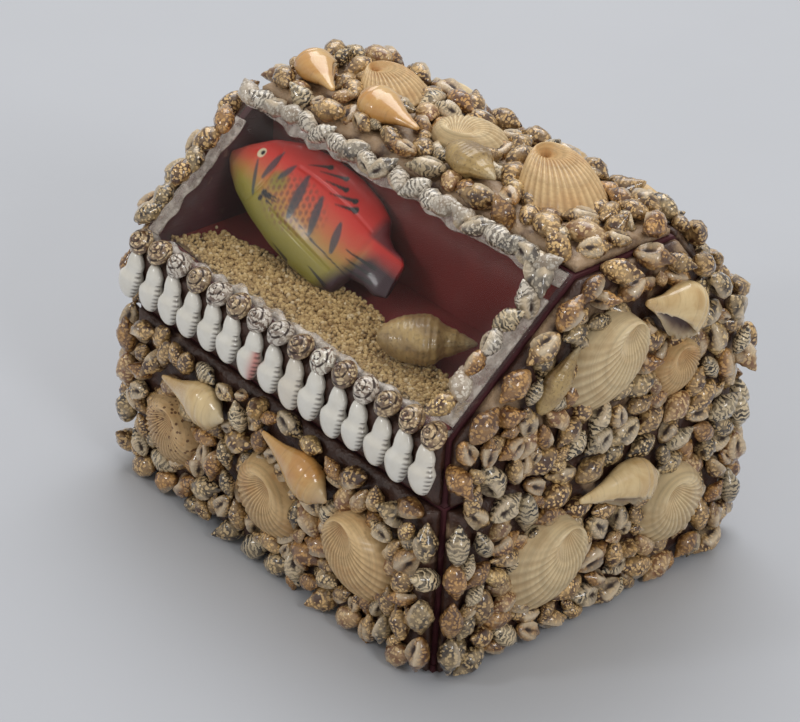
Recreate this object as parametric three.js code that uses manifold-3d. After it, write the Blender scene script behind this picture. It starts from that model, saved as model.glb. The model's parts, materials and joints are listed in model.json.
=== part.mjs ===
// A shell-crusted trinket box: a small wooden box with a lift-off lid, covered all over in glued
// sea shells. Under a sloping clear window the lid holds a little beach scene: a carved fish, a
// whelk shell and a bed of coarse sand.
// Millimetres, +Z up, +X to the right along the front, -Y towards the window side.
// The origin is the middle of the underside.
import * as THREE from "three";
import Module from "manifold-3d";
import { mergeVertices } from "three/addons/utils/BufferGeometryUtils.js";

const wasm = await Module();
wasm.setup();

// Driving dimensions of the wooden box
const width = 140; // outside of the wood, left to right
const depth = 115; // outside of the wood, front to back
const trayHeight = 57.5; // underside to the top of the tray's walls
const board = 2.5; // thickness of every board
const touch = 0.3; // gap left between pieces that touch
const frontRailHeight = 22; // upright front of the lid, below the window
const rearRailHeight = 22; // upright back of the lid
const lidHeight = 59.5; // seam to the flat top
const windowRun = 44; // how far back the window's top edge stands from the front
const flatTopDepth = 39; // front to back of the flat top
const chamberFloorHeight = 20.5; // seam to the top of the display chamber's floor
const chamberSetback = 4; // display chamber's back wall, behind the window's top edge

// Driving dimensions of what lies on the wood
const filmThickness = 0.8; // clear window sheet
const bedThickness = 3.6; // glue between the shells and the wood
const bedInset = 0.9; // bare strip along each edge of a crusted face
const smallLength = 12.6; // middling small shell
const smallSpread = 0.18; // how much longer or shorter a small shell may be
const borderLength = 10.4; // small shell on the window's borders
const borderGirth = 6.5;
const smallSlimness = 0.62; // width of a small shell as a share of its length
const smallRise = 6.2; // height of a small shell above the glue
const rowPitch = 11.1; // spacing of the shells in a row along an edge
const fringePitch = 9.2; // spacing of the button tops and the pale shells under them
const buttonDiameter = 7.4;
const paleLength = 13.5; // pale shells that hang below the buttons
const paleWidth = 6.6;
const borderWidth = 9; // shell border along the window's sides and top
const sandThickness = 1.3;
const fishShare = 1.3; // length of the fish as a share of the window's
const fishSteeper = 4.5; // degrees
const displayWhelkShare = 0.5; // length of the whelk on the sand as a share of the window's
const displayWhelkSlimness = 0.59; // its width as a share of its length

// Heights and edges that follow from them
const halfWidth = width / 2;
const halfDepth = depth / 2;
const seam = trayHeight + touch;
const lidTop = seam + lidHeight;
const railTop = seam + frontRailHeight;
const windowTopY = windowRun - halfDepth;
const flatTopBackY = windowTopY + flatTopDepth;
const windowAngle = Math.atan2(lidTop - railTop, windowRun);
const windowLength = Math.hypot(lidTop - railTop, windowRun);
const rearSlopeRise = lidHeight - rearRailHeight;
const rearSlopeRun = halfDepth - flatTopBackY;
const rearSlopeAngle = Math.atan2(rearSlopeRise, rearSlopeRun);
const rearSlopeLength = Math.hypot(rearSlopeRise, rearSlopeRun);
const chamberFloor = seam + chamberFloorHeight;
const chamberBackY = windowTopY + chamberSetback;

function finish(color, roughness, metalness = 0) {
  return new THREE.MeshStandardMaterial({ color, roughness, metalness });
}

const finishes = {
  paintedWood: finish(0x5a1f2c, 0.75),
  flock: finish(0x5c2226, 0.95),
  film: new THREE.MeshStandardMaterial({
    color: 0xf2f2ee,
    roughness: 0.1,
    metalness: 0,
    transparent: true,
    opacity: 0.2,
  }),
  smallShells: finish(0x8a6a45, 0.35),
  paleShells: finish(0xe6e0d2, 0.35),
  greyShells: finish(0xb7ad9c, 0.4),
  creamCockle: finish(0xe2cfa0, 0.5),
  tanCockle: finish(0xc9a069, 0.5),
  spottedCockle: finish(0xb08a5c, 0.5),
  creamWhelk: finish(0xe3c992, 0.25),
  orangeWhelk: finish(0xd9a861, 0.25),
  brownWhelk: finish(0x9d8a63, 0.35),
  fishPaint: finish(0xc8432f, 0.3),
  sand: finish(0xc2a273, 0.95),
};

// Solids

function toManifold(geometry) {
  const bare = geometry.clone();
  bare.deleteAttribute("normal");
  bare.deleteAttribute("uv");
  const merged = mergeVertices(bare, 1e-3);
  return new wasm.Manifold(
    new wasm.Mesh({
      numProp: 3,
      vertProperties: new Float32Array(merged.attributes.position.array),
      triVerts: new Uint32Array(merged.index.array),
    }),
  );
}

function toGeometry(solid) {
  const mesh = solid.getMesh();
  return new THREE.BufferGeometry()
    .setAttribute("position", new THREE.BufferAttribute(mesh.vertProperties, 3))
    .setIndex(new THREE.BufferAttribute(mesh.triVerts, 1));
}

function fromRings(rings, firstTip, lastTip) {
  // A closed skin over rings of equal count, ending in a point at each end.
  const sides = rings[0].length;
  const points = [firstTip, ...rings.flat(), lastTip];
  const faces = [];
  const at = (ring, i) => 1 + ring * sides + (i % sides);
  const last = points.length - 1;
  for (let i = 0; i < sides; i++) {
    faces.push([0, at(0, i + 1), at(0, i)]);
    for (let r = 0; r + 1 < rings.length; r++) {
      faces.push([at(r, i), at(r, i + 1), at(r + 1, i)]);
      faces.push([at(r, i + 1), at(r + 1, i + 1), at(r + 1, i)]);
    }
    faces.push([at(rings.length - 1, i), at(rings.length - 1, i + 1), last]);
  }
  const volume = faces.reduce((sum, face) => {
    const [a, b, c] = face.map((i) => new THREE.Vector3(...points[i]));
    return sum + a.dot(b.cross(c));
  }, 0);
  if (volume < 0) faces.forEach((face) => face.reverse());
  return new THREE.BufferGeometry()
    .setAttribute("position", new THREE.Float32BufferAttribute(points.flat(), 3))
    .setIndex(faces.flat());
}

function outlineShape(points) {
  return new THREE.Shape(points.map(([x, y]) => new THREE.Vector2(x, y)));
}

function slab(points, thickness) {
  return new THREE.ExtrudeGeometry(outlineShape(points), {
    depth: thickness,
    bevelEnabled: false,
  });
}

// An outline in the Y-Z plane, extruded along X from one place to another
function crossBoard(points, fromX, toX) {
  const geometry = slab(points, toX - fromX);
  const basis = new THREE.Matrix4().makeBasis(
    new THREE.Vector3(0, 1, 0),
    new THREE.Vector3(0, 0, 1),
    new THREE.Vector3(1, 0, 0),
  );
  return geometry.applyMatrix4(basis).translate(fromX, 0, 0);
}

function box(low, high) {
  const size = high.map((h, i) => h - low[i]);
  const middle = high.map((h, i) => (h + low[i]) / 2);
  return new THREE.BoxGeometry(...size).translate(...middle);
}

const object = new THREE.Group();

function place(parent, name, geometry, material, position = [0, 0, 0], turn = 0) {
  const mesh = new THREE.Mesh(geometry, material);
  mesh.name = name;
  mesh.position.set(...position);
  mesh.rotation.z = turn;
  parent.add(mesh);
  return mesh;
}

// The wooden tray: a floor with four walls standing on it

const insideX = halfWidth - board;
const insideY = halfDepth - board;
const wallFoot = board + touch;
const { paintedWood, flock } = finishes;

place(object, "tray_floor", box([-halfWidth, -halfDepth, 0], [halfWidth, halfDepth, board]),
  paintedWood);
for (const [name, y] of [["tray_front", -halfDepth], ["tray_back", insideY]]) {
  place(object, name, box([-halfWidth, y, wallFoot], [halfWidth, y + board, trayHeight]),
    paintedWood);
}
for (const [name, x] of [["tray_left", -halfWidth], ["tray_right", insideX]]) {
  const reach = insideY - touch;
  place(object, name, box([x, -reach, wallFoot], [x + board, reach, trayHeight]), paintedWood);
}

// The lid: two side boards with the whole profile, and the boards that run between them

const sideProfile = [
  [-halfDepth, seam],
  [halfDepth, seam],
  [halfDepth, seam + rearRailHeight],
  [flatTopBackY, lidTop],
  [windowTopY, lidTop],
  [-halfDepth, railTop],
];
place(object, "lid_left_side", crossBoard(sideProfile, -halfWidth, -insideX), paintedWood);
place(object, "lid_right_side", crossBoard(sideProfile, insideX, halfWidth), paintedWood);

const spanX = insideX - touch;
const railInside = -halfDepth + board;
place(object, "lid_front_rail",
  box([-spanX, -halfDepth, seam], [spanX, railInside, railTop - touch]), paintedWood);
place(object, "lid_display_floor",
  box([-spanX, railInside + touch, chamberFloor - board],
    [spanX, chamberBackY + board, chamberFloor]), flock);
place(object, "lid_display_back",
  box([-spanX, chamberBackY, chamberFloor + touch],
    [spanX, chamberBackY + board, lidTop - board - touch]), flock);

// Boards that follow the lid's outline behind the window, mitred where they meet
function mitredBoards(path) {
  const heading = path.slice(1).map(([y, z], i) => {
    const run = [y - path[i][0], z - path[i][1]];
    const length = Math.hypot(...run);
    return run.map((c) => c / length);
  });
  return heading.map((along, i) => {
    const inward = [along[1], -along[0]];
    const pull = (p, by) => [p[0] + along[0] * by, p[1] + along[1] * by];
    const innerCorner = (end, other) => {
      const bend = other ? other[0] * inward[0] + other[1] * inward[1] : 0;
      const cosine = other ? other[0] * along[0] + other[1] * along[1] : 1;
      const inner = [end[0] + inward[0] * board, end[1] + inward[1] * board];
      return pull(inner, (-board * bend) / (1 + cosine));
    };
    const [before, after] = [heading[i - 1], heading[i + 1]];
    const startGap = before ? touch / 2 : 0;
    const endGap = after ? touch / 2 : 0;
    return [
      pull(path[i], startGap),
      pull(path[i + 1], -endGap),
      pull(innerCorner(path[i + 1], after), -endGap),
      pull(innerCorner(path[i], before), startGap),
    ];
  });
}
const rearPath = [
  [windowTopY, lidTop],
  [flatTopBackY, lidTop],
  [halfDepth, seam + rearRailHeight],
  [halfDepth, seam],
];
const rearNames = ["lid_top_board", "lid_rear_slope_board", "lid_rear_rail"];
mitredBoards(rearPath).forEach((outline, i) => {
  place(object, rearNames[i], crossBoard(outline, -spanX, spanX), paintedWood);
});

// Faces that carry shells. On each, u runs to the right as seen from outside and v runs up.

function carryingFace(origin, u, v, outline) {
  const uAxis = new THREE.Vector3(...u);
  const vAxis = new THREE.Vector3(...v);
  const group = new THREE.Group();
  const basis = new THREE.Matrix4().makeBasis(uAxis, vAxis,
    new THREE.Vector3().crossVectors(uAxis, vAxis));
  group.quaternion.setFromRotationMatrix(basis);
  group.position.set(...origin);
  object.add(group);
  return { group, outline };
}

const rectangle = (w, h) => [[0, 0], [w, 0], [w, h], [0, h]];
const leanBack = [0, Math.cos(windowAngle), Math.sin(windowAngle)];
const leanForward = [0, -Math.cos(rearSlopeAngle), Math.sin(rearSlopeAngle)];
const lidSideOutline = sideProfile.map(([y, z]) => [y + halfDepth, z - seam]);
const lidSideMirrored = lidSideOutline.map(([u, v]) => [depth - u, v]).reverse();

const faces = {
  trayFront: carryingFace([-halfWidth, -halfDepth, 0], [1, 0, 0], [0, 0, 1],
    rectangle(width, trayHeight)),
  trayRight: carryingFace([halfWidth, -halfDepth, 0], [0, 1, 0], [0, 0, 1],
    rectangle(depth, trayHeight)),
  trayBack: carryingFace([halfWidth, halfDepth, 0], [-1, 0, 0], [0, 0, 1],
    rectangle(width, trayHeight)),
  trayLeft: carryingFace([-halfWidth, halfDepth, 0], [0, -1, 0], [0, 0, 1],
    rectangle(depth, trayHeight)),
  lidRight: carryingFace([halfWidth, -halfDepth, seam], [0, 1, 0], [0, 0, 1], lidSideOutline),
  lidLeft: carryingFace([-halfWidth, halfDepth, seam], [0, -1, 0], [0, 0, 1], lidSideMirrored),
  lidTop: carryingFace([-halfWidth, windowTopY, lidTop], [1, 0, 0], [0, 1, 0],
    rectangle(width, flatTopDepth)),
  rearSlope: carryingFace([halfWidth, halfDepth, seam + rearRailHeight], [-1, 0, 0], leanForward,
    rectangle(width, rearSlopeLength)),
  rearRail: carryingFace([halfWidth, halfDepth, seam], [-1, 0, 0], [0, 0, 1],
    rectangle(width, rearRailHeight)),
  frontRail: carryingFace([-halfWidth, -halfDepth, seam], [1, 0, 0], [0, 0, 1],
    rectangle(width, frontRailHeight)),
  window: carryingFace([-halfWidth, -halfDepth, railTop], [1, 0, 0], leanBack,
    rectangle(width, windowLength)),
};

// The clear sheet lies on the sloping edges of the lid's sides.
const filmFoot = touch + filmThickness; // keeps its lower edge behind the front rail's face
const filmOutline = [[touch, filmFoot], [width - touch, filmFoot],
  [width - touch, windowLength - touch], [touch, windowLength - touch]];
place(faces.window.group, "window", slab(filmOutline, filmThickness), finishes.film,
  [0, 0, touch]);

// Large shells

// A ribbed cockle valve, hinge towards +y, lying on its rim. Sizes are across the ribs and
// along them.
const cockleRibs = 9;
const cockleHinge = 0.8; // place of the hinge, as a share of the half height
function cockle(across, along, rise) {
  const count = 2 * cockleRibs;
  const rim = Array.from({ length: count }, (_, i) => {
    const angle = Math.PI / 2 + ((i + 0.5) / count) * 2 * Math.PI;
    const scallop = i % 2 ? 1 : 0.955;
    const shoulder = 1 - 0.08 * Math.max(0, Math.sin(angle)) ** 2;
    return [Math.cos(angle) * (across / 2) * scallop * shoulder,
      Math.sin(angle) * (along / 2) * scallop];
  });
  const hinge = [0, (cockleHinge * along) / 2];
  const ring = (share, height) =>
    rim.map(([x, y], i) => [
      hinge[0] + (x - hinge[0]) * share,
      hinge[1] + (y - hinge[1]) * share,
      height * rise * (i % 2 || !height ? 1 : 0.9),
    ]);
  const rings = [ring(0.4, 0.95), ring(0.8, 0.7), ring(1, 0)];
  return fromRings(rings, [hinge[0], hinge[1], rise * 0.5], [0, 0, 0]);
}

// A whelk lying along x with its narrow end towards +x, flattened where it is bedded.
// Each station is a place along the length and a share of the full radius.
const pearWhelk = [[0.05, 0.3], [0.13, 0.62], [0.2, 0.9], [0.34, 1], [0.52, 0.8], [0.74, 0.38],
  [0.94, 0.16]];
const spiredWhelk = [[0.07, 0.2], [0.18, 0.36], [0.22, 0.52], [0.36, 0.68], [0.42, 0.92],
  [0.62, 1], [0.84, 0.62], [0.95, 0.3]];
const whelkSides = 8;
const whelkFlatness = 0.74;
function whelk(length, girth, stations, flatness = whelkFlatness) {
  const rings = stations.map(([place, share]) =>
    Array.from({ length: whelkSides }, (_, i) => {
      const angle = ((i + 0.5) / whelkSides) * 2 * Math.PI;
      return [(place - 0.5) * length, (Math.cos(angle) * share * girth) / 2,
        (Math.sin(angle) * share * girth * flatness) / 2];
    }));
  const lift = (girth * flatness * Math.cos(Math.PI / whelkSides)) / 2;
  return fromRings(rings, [-length / 2, 0, 0], [length / 2, 0, 0]).translate(0, 0, lift);
}

// The open mouth of a whelk, hollowed out of its flank
function openMouth(solid, length, girth, side) {
  const hollow = new THREE.IcosahedronGeometry(1, 0)
    .scale(length * 0.24, girth * 0.24, girth * 0.3)
    .translate(length * 0.06, side * girth * 0.34, girth * 0.52);
  return toGeometry(toManifold(solid).subtract(toManifold(hollow)));
}

// Every large shell: name, form, place as shares of its face's width and height, size along and
// across its own axis in millimetres, and the way it points in degrees. A cockle points with
// its hinge and a whelk with its narrow end.
const degree = Math.PI / 180;
const largeShells = {
  trayFront: [
    ["front_spotted_cockle", "cockle", 0.165, 0.43, 27, 26, 60, "spottedCockle"],
    ["front_pale_whelk", "pear", 0.27, 0.79, 30, 14, 180, "creamWhelk"],
    ["front_fan_cockle", "cockle", 0.5, 0.44, 29, 29, 60, "tanCockle"],
    ["front_orange_whelk", "pear", 0.615, 0.81, 31, 14, 165, "orangeWhelk"],
    ["front_tan_cockle", "cockle", 0.8, 0.48, 31, 29, 95, "tanCockle"],
  ],
  trayRight: [
    ["right_cream_cockle", "cockle", 0.315, 0.46, 34, 29, 80, "creamCockle"],
    ["right_cream_whelk", "mouth", 0.53, 0.79, 33, 15, 175, "creamWhelk"],
    ["right_far_cockle", "cockle", 0.77, 0.45, 30, 28, 120, "creamCockle"],
  ],
  trayBack: [
    ["back_tan_cockle", "cockle", 0.19, 0.47, 29, 28, 85, "tanCockle"],
    ["back_cream_cockle", "cockle", 0.5, 0.52, 31, 30, 100, "creamCockle"],
    ["back_spotted_cockle", "cockle", 0.81, 0.46, 28, 27, 70, "spottedCockle"],
  ],
  trayLeft: [
    ["left_cream_cockle", "cockle", 0.25, 0.47, 30, 28, 100, "creamCockle"],
    ["left_orange_whelk", "pear", 0.52, 0.72, 28, 13, 20, "orangeWhelk"],
    ["left_tan_cockle", "cockle", 0.75, 0.42, 28, 27, 75, "tanCockle"],
  ],
  lidRight: [
    ["lid_ribbed_cockle", "cockle", 0.465, 0.52, 33, 27, 75, "creamCockle"],
    ["lid_spire_shell", "spire", 0.29, 0.56, 22, 9, 232, "brownWhelk"],
    ["lid_open_whelk", "mouth", 0.655, 0.73, 27, 17, 155, "creamWhelk"],
    ["lid_pink_cockle", "cockle", 0.735, 0.3, 21, 20, 110, "tanCockle"],
  ],
  lidLeft: [
    ["lid_left_cockle", "cockle", 0.52, 0.5, 31, 29, 90, "tanCockle"],
    ["lid_left_small_cockle", "cockle", 0.22, 0.28, 20, 20, 70, "creamCockle"],
  ],
  lidTop: [
    ["top_left_whelk", "pear", 0.1, 0.32, 26, 13, -22, "orangeWhelk"],
    ["top_fine_cockle", "cockle", 0.225, 0.71, 22, 23, 180, "tanCockle"],
    ["top_orange_whelk", "pear", 0.335, 0.31, 28, 14, -4, "orangeWhelk"],
    ["top_fan_cockle", "cockle", 0.48, 0.68, 22, 25, -70, "creamCockle"],
    ["top_knobbed_whelk", "spire", 0.61, 0.28, 24, 12.5, 170, "brownWhelk"],
    ["top_tan_cockle", "cockle", 0.78, 0.62, 32, 26, 160, "tanCockle"],
  ],
  rearSlope: [
    ["rear_tan_cockle", "cockle", 0.2, 0.5, 28, 28, 80, "tanCockle"],
    ["rear_cream_whelk", "pear", 0.5, 0.55, 30, 15, 20, "creamWhelk"],
    ["rear_cream_cockle", "cockle", 0.79, 0.48, 29, 28, 105, "creamCockle"],
  ],
};

const whelkForms = { pear: pearWhelk, mouth: pearWhelk, spire: spiredWhelk };
const cockleRise = 0.3; // height of a cockle as a share of its length
const onBed = touch + bedThickness + touch; // height of the large shells' undersides

function largeShell(form, along, across) {
  if (form === "cockle") return cockle(across, along, cockleRise * along);
  const solid = whelk(along, across, whelkForms[form]);
  return form === "mouth" ? openMouth(solid, along, across, -1) : solid;
}

// Where a large shell lies on its face, and the circles that keep the small shells off it
function largeShellPlace(outline, [, form, shareU, shareV, along, across, turn]) {
  const u = shareU * Math.max(...outline.map((p) => p[0]));
  const v = shareV * Math.max(...outline.map((p) => p[1]));
  const angle = turn * degree;
  const heading = [Math.cos(angle), Math.sin(angle)];
  const circle = (share, radius) => [u + heading[0] * along * share, v + heading[1] * along * share,
    radius];
  const half = across / 2;
  const slack = (along - across) / 2 / along;
  const circles = form === "cockle"
    ? [circle(slack, half + touch), circle(-slack, half + touch)]
    : [circle(-0.36, half * 0.75), circle(-0.16, half + touch), circle(0.06, half * 0.9),
      circle(0.26, half * 0.5), circle(0.42, half * 0.35)];
  return { u, v, angle, circles };
}

for (const [key, shells] of Object.entries(largeShells)) {
  const { group, outline } = faces[key];
  for (const shell of shells) {
    const [name, form, , , along, across, , look] = shell;
    const { u, v, angle } = largeShellPlace(outline, shell);
    const turn = form === "cockle" ? angle - Math.PI / 2 : angle;
    place(group, name, largeShell(form, along, across), finishes[look], [u, v, onBed], turn);
  }
}

// Small shells

// A repeatable stream of numbers from 0 to 1
function stream(seed) {
  let state = seed;
  return () => {
    state = (state * 1664525 + 1013904223) % 4294967296;
    return state / 4294967296;
  };
}

function insideOutline(outline, [u, v, radius]) {
  return outline.every(([u0, v0], i) => {
    const [u1, v1] = outline[(i + 1) % outline.length];
    const reach = (u1 - u0) * (v - v0) - (v1 - v0) * (u - u0);
    return reach / Math.hypot(u1 - u0, v1 - v0) >= radius + bedInset + touch;
  });
}

// The circles that a small shell covers, from one tip to the other
const spindleCircles = [[-0.48, 0.03], [-0.42, 0.1], [-0.3, 0.27], [-0.08, 0.5], [0.17, 0.31],
  [0.34, 0.15], [0.46, 0.05]];
function smallCircles({ u, v, angle, length, girth }) {
  return spindleCircles.map(([share, radius]) => [
    u + Math.cos(angle) * length * share,
    v + Math.sin(angle) * length * share,
    girth * radius,
  ]);
}

function clearOf(circles, taken) {
  return circles.every(([u, v, r]) => taken.every(([a, b, s]) =>
    (u - a) ** 2 + (v - b) ** 2 >= (r + s) ** 2));
}

// Rows along the edges of a face, then loose shells wherever one still fits
const looseTries = 5000;
const rowTilt = 0.5; // radians a row shell leans away from its row
function smallShells(outline, keepClear, edgeRows, seed) {
  const next = stream(seed);
  const taken = [...keepClear];
  const found = [];
  const offer = (shell) => {
    const circles = smallCircles(shell);
    if (!circles.every((c) => insideOutline(outline, c)) || !clearOf(circles, taken)) return;
    taken.push(...circles);
    found.push(shell);
  };
  for (const { edge, along } of edgeRows) {
    const [u0, v0] = outline[edge];
    const [u1, v1] = outline[(edge + 1) % outline.length];
    const run = Math.hypot(u1 - u0, v1 - v0);
    const heading = Math.atan2(v1 - v0, u1 - u0);
    const girth = smallLength * smallSlimness;
    const pitch = along ? smallLength * 1.04 : rowPitch;
    const inward = bedInset + girth * (along ? 0.52 : 0.72);
    const count = Math.floor((run - 2 * bedInset) / pitch);
    for (let i = 0; i < count; i++) {
      const step = (run - count * pitch) / 2 + (i + 0.5) * pitch;
      const lean = (along ? 0 : rowTilt) + 0.24 * (next() - 0.5);
      offer({
        u: u0 + Math.cos(heading) * step - Math.sin(heading) * inward,
        v: v0 + Math.sin(heading) * step + Math.cos(heading) * inward,
        angle: heading + lean + (next() < 0.5 ? Math.PI : 0),
        length: smallLength * 0.98,
        girth,
      });
    }
  }
  const spanU = Math.max(...outline.map((p) => p[0]));
  const spanV = Math.max(...outline.map((p) => p[1]));
  for (let i = 0; i < looseTries; i++) {
    const shrink = (0.24 * i) / looseTries; // the later ones are smaller, to fill what is left
    const length = smallLength * (1 - shrink + smallSpread * (2 * next() - 1));
    offer({ u: next() * spanU, v: next() * spanV, angle: next() * 2 * Math.PI, length,
      girth: length * smallSlimness });
  }
  return found;
}

// Each shell on a bed is a mound: a rim that lies in the glue's surface, a crown above it, and
// the faces between them, numbered with the rim first. Places are along and across the shell.
// Under the rim the mound goes straight down into the glue.
const moundRoot = 0.5 * bedThickness;
function mound(u, v, angle, rim, crown, upper) {
  const count = rim.length;
  const points = [...rim, ...crown, ...rim.map(([x, y]) => [x, y, -moundRoot])];
  const foot = count + crown.length;
  const sides = rim.flatMap((_, i) => {
    const j = (i + 1) % count;
    return [[foot + i, foot + j, j], [foot + i, j, i]];
  });
  const base = rim.slice(2).map((_, i) => [foot, foot + i + 2, foot + i + 1]);
  const placed = points.flatMap(([x, y, z = 0]) => [
    u + x * Math.cos(angle) - y * Math.sin(angle),
    v + x * Math.sin(angle) + y * Math.cos(angle),
    z + bedThickness,
  ]);
  return new THREE.BufferGeometry()
    .setAttribute("position", new THREE.Float32BufferAttribute(placed, 3))
    .setIndex([...upper, ...sides, ...base].flat());
}

// A small shell as a low spindle with its shoulder nearer one end
function smallMound({ u, v, angle, length, girth }) {
  const shoulder = -0.08 * length;
  return mound(u, v, angle,
    [[-length / 2, 0], [shoulder, -girth / 2], [length / 2, 0], [shoulder, girth / 2]],
    [[shoulder, -0.24 * girth, smallRise], [shoulder, 0.24 * girth, smallRise]],
    [[0, 1, 4], [0, 4, 5], [0, 5, 3], [2, 3, 5], [2, 5, 4], [2, 4, 1]]);
}

// A pale shell seen from its mouth side: two soft lobes with a waist between them
function paleMound(u, v, lean) {
  const rim = [[-0.5, 0], [-0.3, -0.46], [0.02, -0.34], [0.28, -0.46], [0.5, 0],
    [0.28, 0.46], [0.02, 0.34], [-0.3, 0.46]];
  const crown = [[-0.22, 0, 0.62], [0.24, 0, 0.55]];
  return mound(u, v, lean - Math.PI / 2,
    rim.map(([x, y]) => [x * paleLength, y * paleWidth]),
    crown.map(([x, y, z]) => [x * paleLength, y * paleWidth, z * paleWidth]),
    [[0, 1, 8], [1, 2, 8], [2, 9, 8], [2, 3, 9], [3, 4, 9], [4, 5, 9], [5, 6, 9], [6, 8, 9],
      [6, 7, 8], [7, 0, 8]]);
}

function buttonMound(u, v, turn) {
  const sides = 6;
  const rim = Array.from({ length: sides }, (_, i) => {
    const angle = (i / sides) * 2 * Math.PI;
    return [(Math.cos(angle) * buttonDiameter) / 2, (Math.sin(angle) * buttonDiameter) / 2];
  });
  return mound(u, v, turn, rim, [[0, 0, smallRise]],
    rim.map((_, i) => [i, (i + 1) % sides, sides]));
}

function inset(outline, by) {
  return outline.map((p, i) => {
    const before = outline[(i + outline.length - 1) % outline.length];
    const after = outline[(i + 1) % outline.length];
    const [n, m] = [[before, p], [p, after]].map(([a, b]) => {
      const run = Math.hypot(b[0] - a[0], b[1] - a[1]);
      return [(a[1] - b[1]) / run, (b[0] - a[0]) / run];
    });
    const scale = by / (1 + n[0] * m[0] + n[1] * m[1]);
    return [p[0] + (n[0] + m[0]) * scale, p[1] + (n[1] + m[1]) * scale];
  });
}

// A bed of glue and its shells, joined
function crust(outline, mounds) {
  const bed = toManifold(slab(inset(outline, bedInset), bedThickness));
  return toGeometry(mounds.reduce((sum, shell) => sum.add(toManifold(shell)), bed));
}

const crusts = [
  { name: "tray_front_shells", face: "trayFront", seed: 11,
    rows: [{ edge: 0 }, { edge: 1, along: true }, { edge: 3, along: true }, { edge: 2 }] },
  { name: "tray_right_shells", face: "trayRight", seed: 23,
    rows: [{ edge: 0 }, { edge: 3, along: true }, { edge: 1, along: true }, { edge: 2 }] },
  { name: "tray_back_shells", face: "trayBack", seed: 37,
    rows: [{ edge: 0 }, { edge: 1, along: true }, { edge: 3, along: true }, { edge: 2 }] },
  { name: "tray_left_shells", face: "trayLeft", seed: 41,
    rows: [{ edge: 0 }, { edge: 1, along: true }, { edge: 3, along: true }, { edge: 2 }] },
  { name: "lid_right_shells", face: "lidRight", seed: 59,
    rows: [{ edge: 0 }, { edge: 5, along: true }, { edge: 3 }, { edge: 4, along: true }] },
  { name: "lid_left_shells", face: "lidLeft", seed: 61,
    rows: [{ edge: 0 }, { edge: 1 }, { edge: 3 }] },
  { name: "lid_top_shells", face: "lidTop", seed: 73, rows: [{ edge: 1 }, { edge: 3 }] },
  { name: "rear_slope_shells", face: "rearSlope", seed: 83, rows: [{ edge: 1 }, { edge: 3 }] },
  { name: "rear_rail_shells", face: "rearRail", seed: 97, rows: [{ edge: 0 }, { edge: 2 }] },
];
for (const { name, face, seed, rows } of crusts) {
  const { group, outline } = faces[face];
  const large = (largeShells[face] || []).flatMap((s) => largeShellPlace(outline, s).circles);
  const shells = smallShells(outline, large, rows, seed);
  place(group, name, crust(outline, shells.map(smallMound)), finishes.smallShells,
    [0, 0, touch]);
}

// The fringe on the lid's front rail: button tops over a row of hanging pale shells

const fringeCount = Math.floor((width - 2 * bedInset) / fringePitch);
const fringeStart = (width - (fringeCount - 1) * fringePitch) / 2;
const fringeU = Array.from({ length: fringeCount }, (_, i) => fringeStart + i * fringePitch);
const buttonV = frontRailHeight - buttonDiameter * 0.28;
const paleV = buttonV - buttonDiameter / 2 - paleLength * 0.52;
const fringeTop = buttonV + buttonDiameter / 2 + 1.5 * bedInset; // stands up before the window
place(faces.frontRail.group, "front_fringe_shells",
  crust(rectangle(width, fringeTop), [
    ...fringeU.map((u, i) => buttonMound(u, buttonV, 0.37 * (i + 1))),
    ...fringeU.map((u, i) => paleMound(u, paleV, 0.07 * ((i % 3) - 0.8))),
  ]), finishes.paleShells, [0, 0, touch]);

// Borders of small shells along the window's left, right and top edges, glued on the clear sheet

const borderBase = touch + filmThickness + touch;
const borderStart = bedInset * 3; // keeps the side borders clear of the button tops
function windowBorder(name, corner, run, across, heading, material, seed) {
  const strip = rectangle(run, across);
  const next = stream(seed);
  const count = Math.floor(run / borderLength);
  const shells = Array.from({ length: count }, (_, i) => ({
    u: bedInset + ((i + 0.5) * (run - 2 * bedInset)) / count,
    v: across / 2,
    angle: 0.3 * (next() - 0.5) + (i % 3 ? 0 : Math.PI),
    length: borderLength * 0.92,
    girth: borderGirth,
  }));
  place(faces.window.group, name, crust(strip, shells.map(smallMound)), material,
    [...corner, borderBase], heading);
}
const sideRun = windowLength - borderWidth - touch - borderStart;
windowBorder("window_left_shells", [borderWidth, borderStart], sideRun, borderWidth,
  Math.PI / 2, finishes.smallShells, 103);
windowBorder("window_right_shells", [width, borderStart], sideRun, borderWidth,
  Math.PI / 2, finishes.smallShells, 107);
windowBorder("window_top_shells", [0, windowLength - borderWidth], width, borderWidth, 0,
  finishes.greyShells, 109);

// Inside the display chamber

// The bed of sand: a low sheet with a wandering edge, given as shares of the chamber's floor
const sandEdge = [[0.01, 0.12], [0.3, 0.04], [0.62, 0.03], [0.86, 0.05], [0.97, 0.14],
  [0.96, 0.3], [0.84, 0.42], [0.66, 0.5], [0.5, 0.62], [0.34, 0.6], [0.2, 0.5], [0.06, 0.44]];
const chamberWidth = 2 * spanX;
const chamberDepth = chamberBackY - railInside;
place(object, "sand_bed",
  slab(sandEdge.map(([x, y]) => [(x - 0.5) * chamberWidth,
    railInside + touch + y * chamberDepth]), sandThickness),
  finishes.sand, [0, 0, chamberFloor + touch]);
const sandTop = chamberFloor + touch + sandThickness;

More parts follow.
